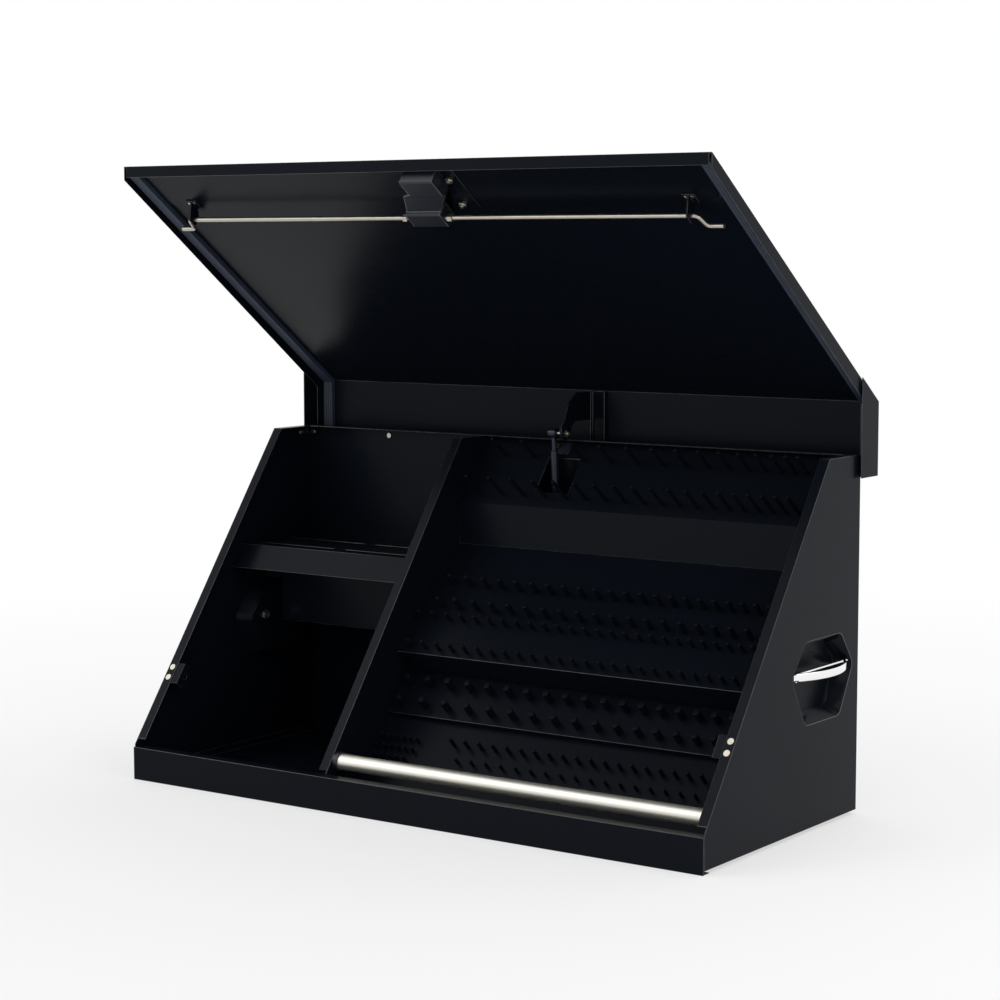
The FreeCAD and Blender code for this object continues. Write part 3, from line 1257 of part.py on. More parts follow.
# Strut arm with its channel and ball stud on the lid
arm = new_body("strut_arm", LID)
under_lid = "lidTopZ - steel"
arm_outline = [
    ("lidBreakY + steel * slopeMitre + 1", under_lid),
    ("lidBreakY + steel * slopeMitre + 1", "ballZ + 34"),
    ("ballY - 46", "ballZ + 9"),
    ("ballY - 21", "ballZ - 2"),
    ("ballY - 10", "ballZ - 11"),
    ("ballY", "ballZ - 12.5"),
    ("ballY + 10", "ballZ - 7"),
    ("ballY + 12", "ballZ + 2"),
    ("ballY + 4", "ballZ + 12"),
    ("ballY - 10", "ballZ + 18"),
    ("ballY - 17.5", "ballZ + 30"),
    ("ballY - 17.5", under_lid),
]
pad(arm, "YZ", arm_outline, "armX", "armSteel")
bore(arm, "YZ", [("ballY", "ballZ")], "3 + boltGap", "armX - 0.1", "armSteel + 0.2")


def near_front_of_arm(edge):
    centre = edge.CenterOfMass
    return runs_along(edge, Vector(1, 0, 0)) and centre.y < value("ballY - 40") and centre.z < value("ballZ + 40")


soften(arm, "12", near_front_of_arm)

channel = new_body("strut_arm_channel", LID)
channel_start = "lidBreakY + steel * slopeMitre + 1"
channel_left = "armX + armSteel"
channel_outline = box(channel_left, "armX + armSteel + channelWidth", channel_start, "ballY + 14")
pad(channel, "XY", channel_outline, "lidTopZ - steel - channelDepth", "channelDepth")
groove = box("armX + armSteel + 1.5", "armX + armSteel + channelWidth - 1.5", f"{channel_start} - 1", "ballY + 15")
pocket(channel, "XY", groove, "lidTopZ - steel - channelDepth - 0.1", "channelDepth - 1.4")

stud = fuse([
    solid("Sphere", "ballX", "ballY", "ballZ", ALONG_X, Radius="ballRadius"),
    rod_x("3", "ballX + 2", "armX + armSteel + 5 - ballX", "ballY", "ballZ"),
    hex_x("5.5", "armX - 4", "4", "ballY", "ballZ"),
    hex_x("5.5", "armX + armSteel", "5", "ballY", "ballZ"),
])
keep(stud, "strut_upper_ball_stud", LID)

# Gas strut: cylinder on the ball, rod sliding in it
socket_radius = "ballRadius + 3"
socket_end = rod_x(socket_radius, "ballX - 6.5", "13", "0", "0")
neck = rod_z("4", "ballX", "0", "0", "30")
barrel = rod_z("strutRadius", "ballX", "0", "28", "strutLength - 28")
shell = fuse([socket_end, neck, barrel])
ball_room = solid("Sphere", "ballX", "0", "0", ALONG_X, Radius="ballRadius + ballGap")
stud_room = rod_x("3.5", "ballX", "10", "0", "0")
chamber = rod_z("4.8", "ballX", "0", "46", "strutLength - 54")
gland = rod_z("strutRodRadius + pinGap", "ballX", "0", "strutLength - 10", "12")
keep(cut(shell, fuse([ball_room, stud_room, chamber, gland])), "strut_cylinder", STRUT)
rod_top = "strutLength - 12"
piston_rod = rod_z("strutRodRadius", "ballX", "0", rod_top, f"strutOpen - 4 - ({rod_top})")
foot = rod_x("strutFootRadius", "ballX - strutFoot / 2", "strutFoot", "0", "strutOpen")
keep(fuse([piston_rod, foot]), "strut_rod", STRUT)

# Bracket for the strut's lower end, behind the wrench panel
bracket = new_body("strut_lower_bracket")
ear_x = "ballX + 9"
ear = box("pivotY - 9", "innerRear", "pivotZ - 10", "pivotZ + 10")
pad(bracket, "YZ", ear, ear_x, "2")
foot_plate = box("innerRear - 2", "innerRear", "pivotZ - 18", "pivotZ + 18")
pad(bracket, "YZ", foot_plate, ear_x, "22")
stud_start = "ballX + strutFoot / 2 + pivotGap"
pad_rounds(bracket, "YZ", [("pivotY", "pivotZ")], "3.5", stud_start, f"{ear_x} - ({stud_start}) + 1")

doc.recompute()
faults = []
for item in doc.Objects:
    if "Invalid" in item.State or "Error" in item.State:
        faults.append(f"{item.Name} {item.Label}: {item.State}")
for node in NODES:
    shape = node.Shape
    if shape.isNull() or not shape.isValid() or not shape.Solids:
        faults.append(f"{node.Label}: no valid solid")
if faults:
    raise ValueError("; ".join(faults))

os.makedirs("parts", exist_ok=True)
for node in NODES:
    node.Shape.exportStep(f"parts/{node.Label}.step")
print(len(NODES), "nodes")
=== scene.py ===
import json
import math

import bmesh
import bpy
from bpy.props import FloatProperty, FloatVectorProperty, IntProperty, PointerProperty
from mathutils import Matrix, Vector


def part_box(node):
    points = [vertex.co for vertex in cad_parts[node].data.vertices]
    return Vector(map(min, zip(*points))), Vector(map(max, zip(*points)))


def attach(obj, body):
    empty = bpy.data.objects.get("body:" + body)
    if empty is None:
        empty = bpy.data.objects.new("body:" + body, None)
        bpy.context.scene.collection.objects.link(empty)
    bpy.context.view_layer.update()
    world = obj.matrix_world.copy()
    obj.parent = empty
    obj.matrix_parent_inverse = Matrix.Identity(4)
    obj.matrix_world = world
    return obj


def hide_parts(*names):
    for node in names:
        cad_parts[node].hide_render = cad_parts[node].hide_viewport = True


bl_info = {
    "name": "Top tool chest",
    "version": (1, 0, 0),
    "blender": (4, 5, 0),
    "location": "3D View > Sidebar > Tool chest",
    "description": "Looks of a sloping steel tool chest with its lid open",
    "category": "Add Mesh",
}

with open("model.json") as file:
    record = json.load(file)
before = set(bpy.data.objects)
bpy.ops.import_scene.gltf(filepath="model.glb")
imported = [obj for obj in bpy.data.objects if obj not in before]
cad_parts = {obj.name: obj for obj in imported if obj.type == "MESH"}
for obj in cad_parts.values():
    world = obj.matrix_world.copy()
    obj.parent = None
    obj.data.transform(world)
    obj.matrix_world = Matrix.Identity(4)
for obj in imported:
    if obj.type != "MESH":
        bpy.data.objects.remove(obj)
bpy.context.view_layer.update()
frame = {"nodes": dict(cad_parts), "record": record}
BODIES = frame["record"]["behaviour"]["bodies"]
BODY_OF = {node: body for body, nodes in BODIES.items() for node in nodes}


def length(name, description, default, smallest=0.0):
    return FloatProperty(
        name=name, description=description, default=default, min=smallest,
        unit="LENGTH", subtype="DISTANCE", precision=5,
    )


def colour(name, description, default):
    return FloatVectorProperty(
        name=name, description=description, default=default, size=4,
        min=0.0, max=1.0, subtype="COLOR",
    )


def power(name, description, default):
    return FloatProperty(
        name=name, description=description, default=default, min=0.0, unit="POWER",
    )


def turn(name, description, default):
    return FloatProperty(name=name, description=description, default=default, unit="ROTATION")


def spot(name, description, default):
    return FloatVectorProperty(
        name=name, description=description, default=default, subtype="TRANSLATION", unit="LENGTH",
    )


class ChestSizes(bpy.types.PropertyGroup):
    """Roundings and small forms that finish the chest's pieces"""

    sheet_edge: length("Sheet edge", "Rounding of the cut edges of the painted sheets", 0.0005)
    opening_edge: length(
        "Handle opening edge", "Rounding of the side walls round the handle dishes", 0.0011,
    )
    hardware_edge: length("Hardware edge", "Rounding of nuts, brackets and bolts", 0.0003)
    cover_edge: length("Latch cover edge", "Rounding of the moulded latch cover", 0.0014)
    latch_handle_edge: length(
        "Latch handle edge", "Rounding of the outside latch handle", 0.0018,
    )
    escutcheon_edge: length("Escutcheon edge", "Rounding of the plate under that handle", 0.0015)
    hinge_edge: length("Hinge edge", "Rounding of the hinge's leaves", 0.0002)
    foot_edge: length("Foot edge", "Rounding of the rubber feet", 0.0012)
    seal_ribs: IntProperty(
        name="Seal ribs", description="Ribs along each lid seal", default=4, min=1,
    )
    seal_groove: length("Seal groove", "Depth of the grooves between the ribs of a seal", 0.0011)
    peg_sides: IntProperty(
        name="Peg sides", description="Flats round each peg", default=14, min=6,
    )
    peg_tip: length("Peg tip", "Rounding of the pegs' tips", 0.0014)
    grip_bulge: length("Handle bulge", "Arc of a side handle beyond its straight edge", 0.026)
    grip_rim: length("Handle rim", "Width of the raised rim of a side handle", 0.0045)
    grip_sink: length("Handle sink", "Depth of the field inside that rim", 0.0016)
    grip_edge: length("Handle edge", "Rounding of a side handle's outline", 0.003)
    grip_tip: length("Handle tip", "Rounding of the two tips of a side handle", 0.006)
    grip_post: length("Handle post", "Radius of the posts of a side handle", 0.005)
    grip_post_inset: length("Handle post inset", "Post from the end of a side handle", 0.033)
    rivet_dome: length("Rivet dome", "Rounding of the rivet heads in the walls", 0.0007)
    nut_edge: length("Nut edge", "Rounding of the nuts beside the latch and the strut's tube", 0.0006)
    rod_nut_edge: length("Rod nut edge", "Rounding of the rods' nuts and guide rivets", 0.0005)


class ChestColours(bpy.types.PropertyGroup):
    """Colours of the chest's finishes"""

    paint: colour("Paint", "Gloss black powder coat of the sheets", (0.0032, 0.0046, 0.0078, 1.0))
    rubber: colour("Rubber", "Seals and feet", (0.027, 0.035, 0.055, 1.0))
    plastic: colour("Plastic", "Moulded latch cover", (0.009, 0.012, 0.019, 1.0))
    zinc: colour("Zinc", "Plated rods, bolts, nuts and brackets", (0.44, 0.42, 0.38, 1.0))
    chrome: colour("Chrome", "Side handles and latch handle", (0.74, 0.76, 0.76, 1.0))
    aluminium: colour("Aluminium", "Retaining tube", (0.6, 0.585, 0.53, 1.0))
    # Lighter colour for the sheets' rounded edges: a painted highlight along the edges
    edge: colour("Edge", "Paint polished thin along the edges of the sheets", (0.05, 0.054, 0.056, 1.0))
    strut: colour("Strut", "Lacquer of the gas strut's cylinder", (0.006, 0.009, 0.02, 1.0))
    floor: colour("Floor", "Studio floor", (0.9, 0.9, 0.9, 1.0))


class ChestStudio(bpy.types.PropertyGroup):
    """Floor, lamps and camera"""

    floor_size: length("Floor size", "Side of the studio floor", 40.0)
    floor_glow: FloatProperty(
        name="Floor whiteness",
        description="Share of the floor that stays white under the chest's shadow",
        default=0.55, min=0.0, max=1.0, subtype="FACTOR",
    )
    floor_near: length("Shadow reach", "Distance from the chest at which the floor turns white", 0.9)
    floor_far: length("Floor fade", "Distance at which the floor is all white", 2.6)
    surroundings: FloatProperty(
        name="Surroundings", description="Light of the white surroundings on the chest",
        default=0.75, min=0.0,
    )
    key_power: power("Key lamp", "Power of the large lamp at the front left", 36.0)
    key_size: length("Key lamp size", "Diameter of that lamp", 3.0)
    key_place: spot("Key lamp place", "Centre of that lamp", (-2.4, -2.6, 2.7))
    fill_power: power("Fill lamp", "Power of the lamp at the right", 20.0)
    fill_size: length("Fill lamp size", "Diameter of that lamp", 2.4)
    fill_place: spot("Fill lamp place", "Centre of that lamp", (3.4, -0.6, 1.9))
    top_power: power("Top lamp", "Power of the lamp above the chest", 22.0)
    top_size: length("Top lamp size", "Diameter of that lamp", 2.8)
    top_place: spot("Top lamp place", "Centre of that lamp", (0.4, 1.4, 3.2))
    lamp_aim: spot("Aim", "Point that the lamps shine at", (0.0, 0.0, 0.45))
    camera_place: spot("Camera", "Place of the camera", (2.142089, -2.992384, 0.844901))
    camera_yaw: turn("Yaw", "Camera turned to the left of straight on", 0.6143)
    camera_pitch: turn("Pitch", "Camera turned down", 0.1053)
    camera_roll: turn("Roll", "Camera turned about its own line of sight", 0.0011)
    lens: FloatProperty(
        name="Lens", description="Focal length in millimetres", default=87.983,
        min=1.0, unit="CAMERA",
    )


class Wire:
    """A shader value that takes part in ordinary arithmetic"""

    def __init__(self, finish, socket):
        self.finish = finish
        self.socket = socket

    def __add__(self, other):
        return self.finish.maths("ADD", self, other)

    def __sub__(self, other):
        return self.finish.maths("SUBTRACT", self, other)

    def __rsub__(self, other):
        return self.finish.maths("SUBTRACT", other, self)

    def __mul__(self, other):
        return self.finish.maths("MULTIPLY", self, other)

    __radd__ = __add__
    __rmul__ = __mul__


class Finish:
    """A material or world and the nodes that make it"""

    def __init__(self, name, kind="materials"):
        self.owner = getattr(bpy.data, kind).new(name)
        self.owner.use_nodes = True
        self.tree = self.owner.node_tree
        self.tree.nodes.clear()

    def node(self, kind, settings=None, inputs=None, output=0):
        made = self.tree.nodes.new("ShaderNode" + kind)
        for name, setting in (settings or {}).items():
            if name == "stops":
                self.set_stops(made.color_ramp, setting)
            else:
                setattr(made, name, setting)
        for name, value in (inputs or {}).items():
            if isinstance(value, Wire):
                self.tree.links.new(value.socket, made.inputs[name])
            else:
                made.inputs[name].default_value = value
        return Wire(self, made.outputs[output])

    @staticmethod
    def set_stops(ramp, stops):
        while len(ramp.elements) < len(stops):
            ramp.elements.new(1.0)
        for element, (position, shade) in zip(ramp.elements, stops):
            element.position = position
            element.color = (shade, shade, shade, 1.0)

    def maths(self, operation, *values):
        return self.node("Math", {"operation": operation}, dict(enumerate(values)))

    def place(self, stretch=(1.0, 1.0, 1.0)):
        place = self.node("TexCoord", output="Object")
        return self.node("Mapping", inputs={"Vector": place, "Scale": stretch})

    def noise(self, scale, detail=2.0, stretch=(1.0, 1.0, 1.0)):
        settings = {"Vector": self.place(stretch), "Scale": scale, "Detail": detail}
        return self.node("TexNoise", inputs=settings, output="Fac")

    def ramp(self, value, *stops):
        return self.node("ValToRGB", {"stops": stops}, {"Fac": value})

    def blend(self, factor, first, second):
        inputs = {0: factor, 6: first, 7: second}
        return self.node("Mix", {"data_type": "RGBA"}, inputs, output=2)

    def bump(self, height, depth, strength=1.0):
        return self.node("Bump", inputs={"Height": height, "Distance": depth, "Strength": strength})

    def surface(self, **sockets):
        inputs = {name.replace("_", " "): value for name, value in sockets.items()}
        shader = self.node("BsdfPrincipled", inputs=inputs, output="BSDF")
        return self.output(shader)

    def output(self, shader, kind="ShaderNodeOutputMaterial"):
        output = self.tree.nodes.new(kind)
        self.tree.links.new(shader.socket, output.inputs["Surface"])
        return self.owner


def tint(shade, factor):
    return (shade[0] * factor, shade[1] * factor, shade[2] * factor, 1.0)


def powder_coat(colours):
    finish = Finish("powder_coat")
    peel = finish.noise(330.0, 2.0)
    grain = finish.noise(1500.0, 2.0)
    wipe = finish.noise(9.0, 4.0, (1.0, 1.0, 2.5))
    haze = finish.ramp(wipe, (0.2, 0.0), (0.8, 1.0))
    rough = 0.22 + haze * 0.05 + grain * 0.06
    shade = finish.blend(grain, tint(colours.paint, 0.8), tint(colours.paint, 1.3))
    normal = finish.bump(peel * 0.7 + grain * 0.3, 0.00014)
    return finish.surface(
        Base_Color=shade, Roughness=rough, Normal=normal, Specular_IOR_Level=0.06,
    )


# Finish of the rounded edges: glossier, with a lighter patchy colour that is a painted highlight along
# the edges
def edge_highlight(colours):
    finish = Finish("edge_highlight")
    grain = finish.noise(700.0, 2.0)
    # Patchy mask between a darker and a lighter shade of that painted edge highlight
    patchy_highlight = finish.ramp(finish.noise(60.0, 4.0), (0.35, 0.25), (0.75, 1.0))
    shade = finish.blend(patchy_highlight, tint(colours.edge, 0.3), tint(colours.edge, 1.2))
    rough = 0.12 + grain * 0.1
    return finish.surface(
        Base_Color=shade, Roughness=rough, Normal=finish.bump(grain, 0.00005), Specular_IOR_Level=0.5,
    )


def seal_rubber(colours):
    finish = Finish("seal_rubber")
    grain = finish.noise(900.0, 3.0)
    bloom = finish.noise(26.0, 3.0)
    shade = finish.blend(bloom, tint(colours.rubber, 0.7), tint(colours.rubber, 1.5))
    rough = 0.3 + bloom * 0.14 + grain * 0.06
    return finish.surface(
        Base_Color=shade, Roughness=rough, Normal=finish.bump(grain, 0.0001), Specular_IOR_Level=0.3,
    )


def moulded_plastic(colours):
    finish = Finish("moulded_plastic")
    grain = finish.noise(1200.0, 2.0)
    patch = finish.noise(40.0, 3.0)
    shade = finish.blend(patch, tint(colours.plastic, 0.8), tint(colours.plastic, 1.3))
    rough = 0.26 + grain * 0.1 + patch * 0.06
    return finish.surface(
        Base_Color=shade, Roughness=rough, Normal=finish.bump(grain, 0.00008), Specular_IOR_Level=0.35,
    )


def zinc_plate(colours):
    finish = Finish("zinc_plate")
    spread = {"Vector": finish.place(), "Scale": 420.0}
    cells = finish.node("TexVoronoi", inputs=spread, output="Distance")
    stain = finish.noise(55.0, 4.0)
    warm = (colours.zinc[0] * 0.95, colours.zinc[1] * 0.9, colours.zinc[2] * 0.78, 1.0)
    shade = finish.blend(stain, tint(colours.zinc, 1.05), warm)
    rough = 0.2 + stain * 0.14 + cells * 0.12
    return finish.surface(
        Base_Color=shade, Roughness=rough, Metallic=1.0, Normal=finish.bump(cells + stain, 0.00006),
    )


def bright_chrome(colours):
    finish = Finish("bright_chrome")
    smear = finish.noise(32.0, 3.0)
    streak = finish.noise(300.0, 2.0, (1.0, 0.06, 1.0))
    shade = finish.blend(smear, tint(colours.chrome, 0.92), tint(colours.chrome, 1.04))
    rough = 0.05 + smear * 0.06 + streak * 0.05
    return finish.surface(
        Base_Color=shade, Roughness=rough, Metallic=1.0, Normal=finish.bump(streak, 0.00003),
    )


def satin_aluminium(colours):
    finish = Finish("satin_aluminium")
    line = finish.noise(700.0, 2.0, (0.012, 1.0, 1.0))
    patch = finish.noise(12.0, 3.0, (0.4, 1.0, 1.0))
    shade = finish.blend(line, tint(colours.aluminium, 0.88), tint(colours.aluminium, 1.06))
    rough = 0.36 + line * 0.2 + patch * 0.06
    return finish.surface(
        Base_Color=shade, Roughness=rough, Metallic=1.0, Normal=finish.bump(line, 0.00005),
    )


def strut_lacquer(colours):
    finish = Finish("strut_lacquer")
    grain = finish.noise(800.0, 2.0)
    rough = 0.12 + grain * 0.08
    shade = finish.blend(grain, tint(colours.strut, 0.8), tint(colours.strut, 1.4))
    return finish.surface(
        Base_Color=shade, Roughness=rough, Specular_IOR_Level=0.3, Normal=finish.bump(grain, 0.00005),
    )


FINISHES = {
    "black_paint": powder_coat,
    "black_rubber": seal_rubber,
    "black_plastic": moulded_plastic,
    "zinc_steel": zinc_plate,
    "bright_chrome": bright_chrome,
    "satin_aluminium": satin_aluminium,
    "strut_black": strut_lacquer,
    "edge": edge_highlight,
}
# Slots whose rounded edges get the lighter edge finish, a painted highlight along the edges
EDGED = ("black_paint", "black_plastic")
# Angle in radians past which two faces meet in a sharp corner
CORNER = 1.2


def finish_for(slot):
    """The material of one of the record's slots, made at its first use"""
    maker = FINISHES[slot]
    found = bpy.data.materials.get(maker.__name__)
    return found or maker(bpy.context.scene.chest_colours)


def merged_copy(node):
    """A CAD piece with its loose triangles joined into whole faces"""
    shape = bmesh.new()
    shape.from_mesh(frame["nodes"][node].data)
    bmesh.ops.remove_doubles(shape, verts=shape.verts, dist=1e-6)
    bmesh.ops.dissolve_limit(shape, angle_limit=math.radians(1), verts=shape.verts, edges=shape.edges)
    return shape


def set_up(shape, name, slot, nodes, edge=0.0, segments=2, angle=35.0):
    """Turns a bmesh into a finished piece that stands for its CAD nodes"""
    mesh = bpy.data.meshes.new(name)
    for face in shape.faces:
        face.smooth = True
    shape.to_mesh(mesh)
    shape.free()
    mesh.set_sharp_from_angle(angle=math.radians(angle))
    mesh.materials.append(finish_for(slot))
    # Second material: the lighter edge finish, a painted highlight
    if slot in EDGED:
        mesh.materials.append(finish_for("edge"))
    piece = bpy.data.objects.new(name, mesh)
    bpy.context.scene.collection.objects.link(piece)
    if edge > 0.0:
        bevel = piece.modifiers.new("rounding", "BEVEL")
        bevel.width = edge
        bevel.segments = segments
        bevel.limit_method = "ANGLE"
        bevel.angle_limit = math.radians(angle)
        bevel.use_clamp_overlap = False
        bevel.harden_normals = True
        # Bevel faces take the lighter edge finish, a painted highlight
        bevel.material = 1 if slot in EDGED else -1
    weighted = piece.modifiers.new("flat faces", "WEIGHTED_NORMAL")
    weighted.keep_sharp = True
    weighted.weight = 100
    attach(piece, BODY_OF[nodes[0]])
    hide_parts(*nodes)
    return piece


def dress(node, slot, edge, segments=2, angle=35.0):
    name = "".join(word.capitalize() for word in node.split("_"))
    return set_up(merged_copy(node), name, slot, [node], edge, segments, angle)


def ring(shape, points):
    """A closed loop of edges through the points"""
    verts = [shape.verts.new(point) for point in points]
    return [shape.edges.new((verts[i - 1], verts[i])) for i in range(len(verts))]


def loft(rings):
    """A closed skin over a row of rings"""
    shape = bmesh.new()
    loops = [ring(shape, points) for points in rings]
    for first, second in zip(loops, loops[1:]):
        bmesh.ops.bridge_loops(shape, edges=first + second)
    bmesh.ops.holes_fill(shape, edges=loops[0] + loops[-1])
    bmesh.ops.recalc_face_normals(shape, faces=shape.faces)
    return shape


def seal_profile(sizes, thickness):
    """Points across a seal as shares of its width and thickness"""
    groove = sizes.seal_groove / thickness
    points = [(1.0, 0.0), (0.0, 0.0), (0.0, 0.6), (0.015, 0.85)]
    steps = 8 * sizes.seal_ribs
    for i in range(steps + 1):
        across = i / steps
        wave = 0.5 - 0.5 * math.cos(2 * math.pi * sizes.seal_ribs * across)
        shoulder = 1.0 - min(1.0, 12.0 * min(across, 1.0 - across))
        sunk = groove * (1.0 - wave) * (1.0 - shoulder) + 0.06 * shoulder
        points.append((0.05 + 0.9 * across, 1.0 - sunk))
    return points + [(0.985, 0.85), (1.0, 0.6)]


class ChestPiece:
    """What every operator of the chest shares"""

    bl_options = {"REGISTER", "UNDO"}

    def execute(self, context):
        self.build(context.scene.chest_sizes)
        return {"FINISHED"}


class CHEST_OT_case_sheets(ChestPiece, bpy.types.Operator):
    """Base pan, front lip and back panel of the case"""

    bl_idname = "chest.case_sheets"
    bl_label = "Case sheets"

    def build(self, sizes):
        for node in ("base_pan", "front_lip", "back_panel"):
            dress(node, "black_paint", sizes.sheet_edge)


class CHEST_OT_side_walls(ChestPiece, bpy.types.Operator):
    """Side walls with the rolled edge of their handle openings"""

    bl_idname = "chest.side_walls"
    bl_label = "Side walls"

    def build(self, sizes):
        for side in ("left", "right"):
            shape = merged_copy(side + "_side_wall")
            low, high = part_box(side + "_handle_dish")
            outer = max(abs(vert.co.x) for vert in shape.verts)
            rim = [edge for edge in shape.edges if self.on_opening(edge, low, high, outer)]
            rounded = bmesh.ops.bevel(
                shape, geom=rim, offset=sizes.opening_edge, segments=4, profile=0.5,
                affect="EDGES", material=-1, clamp_overlap=False,
            )
            # The rolled rim takes the lighter edge finish, a painted highlight round the opening
            for face in rounded["faces"]:
                face.material_index = 1
            name = side.capitalize() + "SideWall"
            set_up(shape, name, "black_paint", [side + "_side_wall"], sizes.sheet_edge)

    @staticmethod
    def on_opening(edge, low, high, outer):
        for vert in edge.verts:
            inside = low.y < vert.co.y < high.y and low.z < vert.co.z < high.z
            if not inside or abs(vert.co.x) < outer - 1e-5:
                return False
        return edge.calc_face_angle(0.0) > 1.0


class CHEST_OT_handle_dishes(ChestPiece, bpy.types.Operator):
    """Pressed dishes behind the side handles, with the nuts that hold the handles"""

    bl_idname = "chest.handle_dishes"
    bl_label = "Handle dishes"

    def build(self, sizes):
        for side in ("left", "right"):
            dress(side + "_handle_dish", "black_paint", 0.0, angle=50.0)
        dress("handle_nuts", "zinc_steel", sizes.hardware_edge)


class CHEST_OT_side_handles(ChestPiece, bpy.types.Operator):
    """Half-moon side handles with a raised rim and two posts each"""

    bl_idname = "chest.side_handles"
    bl_label = "Side handles"

    def build(self, sizes):
        for side, sign in (("left", -1.0), ("right", 1.0)):
            node = side + "_side_handle"
            low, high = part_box(node)
            outer = high.x if sign > 0 else -low.x
            inner = low.x if sign > 0 else -high.x
            shape = self.half_moon(sizes, sign, outer, low, high)
            middle_z = (low.z + high.z) / 2
            chord = outer - sizes.grip_bulge
            for y in (low.y + sizes.grip_post_inset, high.y - sizes.grip_post_inset):
                self.post(shape, sizes, sign, inner, chord + 0.001, y, middle_z)
            set_up(shape, side.capitalize() + "SideHandle", "bright_chrome", [node], angle=40.0)

    @staticmethod
    def half_moon(sizes, sign, outer, low, high):
        half = (high.y - low.y) / 2
        bulge = sizes.grip_bulge
        radius = (half * half + bulge * bulge) / (2 * bulge)
        reach = math.asin(half / radius)
        centre = Vector((sign * (outer - radius), (low.y + high.y) / 2, low.z))
        start = centre + Vector((sign * radius * math.cos(reach), -radius * math.sin(reach), 0.0))
        shape = bmesh.new()
        first = shape.verts.new(start)
        bmesh.ops.spin(
            shape, geom=[first], cent=centre, axis=(0.0, 0.0, sign), angle=2 * reach, steps=36,
            use_duplicate=False,
        )
        bmesh.ops.contextual_create(shape, geom=shape.verts[:])
        made = bmesh.ops.extrude_face_region(shape, geom=shape.faces[:])
        raised = [item for item in made["geom"] if isinstance(item, bmesh.types.BMVert)]
        bmesh.ops.translate(shape, vec=(0.0, 0.0, high.z - low.z), verts=raised)
        bmesh.ops.recalc_face_normals(shape, faces=shape.faces)
        sharp = [edge for edge in shape.edges if edge.calc_face_angle(0.0) > CORNER]
        tips = [edge for edge in sharp if abs(edge.verts[0].co.z - edge.verts[1].co.z) > 0.005]
        bmesh.ops.bevel(
            shape, geom=tips, offset=sizes.grip_tip, segments=6, profile=0.5, affect="EDGES",
            material=-1,
        )
        fields = [face for face in shape.faces if abs(face.normal.z) > 0.9]
        bmesh.ops.inset_individual(shape, faces=fields, thickness=sizes.grip_edge)
        rims = [face for face in shape.faces if abs(face.normal.z) > 0.9 and len(face.verts) > 8]
        outline = [edge for edge in shape.edges if edge.calc_face_angle(0.0) > CORNER]
        bmesh.ops.inset_individual(shape, faces=rims, thickness=sizes.grip_rim - sizes.grip_edge)
        bmesh.ops.inset_individual(shape, faces=rims, thickness=sizes.grip_sink, depth=-sizes.grip_sink)
        bmesh.ops.bevel(
            shape, geom=outline, offset=sizes.grip_edge * 0.9, segments=5, profile=0.5,
            affect="EDGES", material=-1,
        )
        return shape

    @staticmethod
    def post(shape, sizes, sign, inner, outer, y, z):
        turn = Matrix.Rotation(math.radians(90), 4, "Y")
        place = Matrix.Translation((sign * (inner + outer) / 2, y, z)) @ turn
        bmesh.ops.create_cone(
            shape, cap_ends=True, segments=28, radius1=sizes.grip_post, radius2=sizes.grip_post,
            depth=outer - inner, matrix=place,
        )


class CHEST_OT_shelf(ChestPiece, bpy.types.Operator):
    """Divider, screwdriver shelf and the sheet under it"""

    bl_idname = "chest.shelf"
    bl_label = "Divider and shelf"

    def build(self, sizes):
        for node in ("divider", "screwdriver_shelf", "shelf_back_sheet"):
            dress(node, "black_paint", sizes.sheet_edge)


class CHEST_OT_panels(ChestPiece, bpy.types.Operator):
    """Stepped panels of the right bay and the plate with a boss"""

    bl_idname = "chest.panels"
    bl_label = "Stepped panels"

    def build(self, sizes):
        dress("wrench_panel", "black_paint", sizes.sheet_edge)
        for level in ("upper", "middle", "lower"):
            dress("socket_panel_" + level, "black_paint", sizes.sheet_edge)
        dress("boss_plate", "black_plastic", sizes.hardware_edge, 3)


class CHEST_OT_pegs(ChestPiece, bpy.types.Operator):
    """Rows of pegs with rounded tips"""

    bl_idname = "chest.pegs"
    bl_label = "Pegs"

    def build(self, sizes):
        for node in ("wrench_pegs", "socket_pegs_upper", "socket_pegs_middle", "socket_pegs_lower"):
            source = merged_copy(node)
            caps = [face for face in source.faces if len(face.verts) > 8]
            shape = bmesh.new()
            for foot in caps:
                if foot.normal.z < 0.0:
                    self.peg(shape, sizes, foot, caps)
            source.free()
            name = "".join(word.capitalize() for word in node.split("_"))
            set_up(shape, name, "black_paint", [node], angle=50.0)

    @staticmethod
    def peg(shape, sizes, foot, caps):
        base = foot.calc_center_median()
        axis = -foot.normal
        radius = (foot.verts[0].co - base).length
        tips = [cap.calc_center_median() for cap in caps if cap.normal.dot(axis) > 0.9]
        tip = min(tips, key=lambda point: ((point - base) - (point - base).dot(axis) * axis).length)
        reach = (tip - base).length
        turn = Vector((0.0, 0.0, 1.0)).rotation_difference(axis).to_matrix().to_4x4()
        place = Matrix.Translation((base + tip) / 2) @ turn
        made = bmesh.ops.create_cone(
            shape, cap_ends=True, segments=sizes.peg_sides, radius1=radius, radius2=radius,
            depth=reach, matrix=place,
        )
        crown = [vert for vert in made["verts"] if (vert.co - tip).length < radius * 1.01]
        around = {edge for vert in crown for edge in vert.link_edges}
        edges = {edge for edge in around if all(end in crown for end in edge.verts)}
        bmesh.ops.bevel(
            shape, geom=list(edges), offset=min(sizes.peg_tip, 0.6 * radius), segments=3, profile=0.5,
            affect="EDGES", material=-1,
        )


class CHEST_OT_retaining_tube(ChestPiece, bpy.types.Operator):
    """Bright tube across the foot of the right bay, with its cups"""

    bl_idname = "chest.retaining_tube"
    bl_label = "Retaining tube"

    def build(self, sizes):
        dress("retaining_tube", "satin_aluminium", sizes.hardware_edge)
        dress("tube_cups", "black_plastic", sizes.hardware_edge)


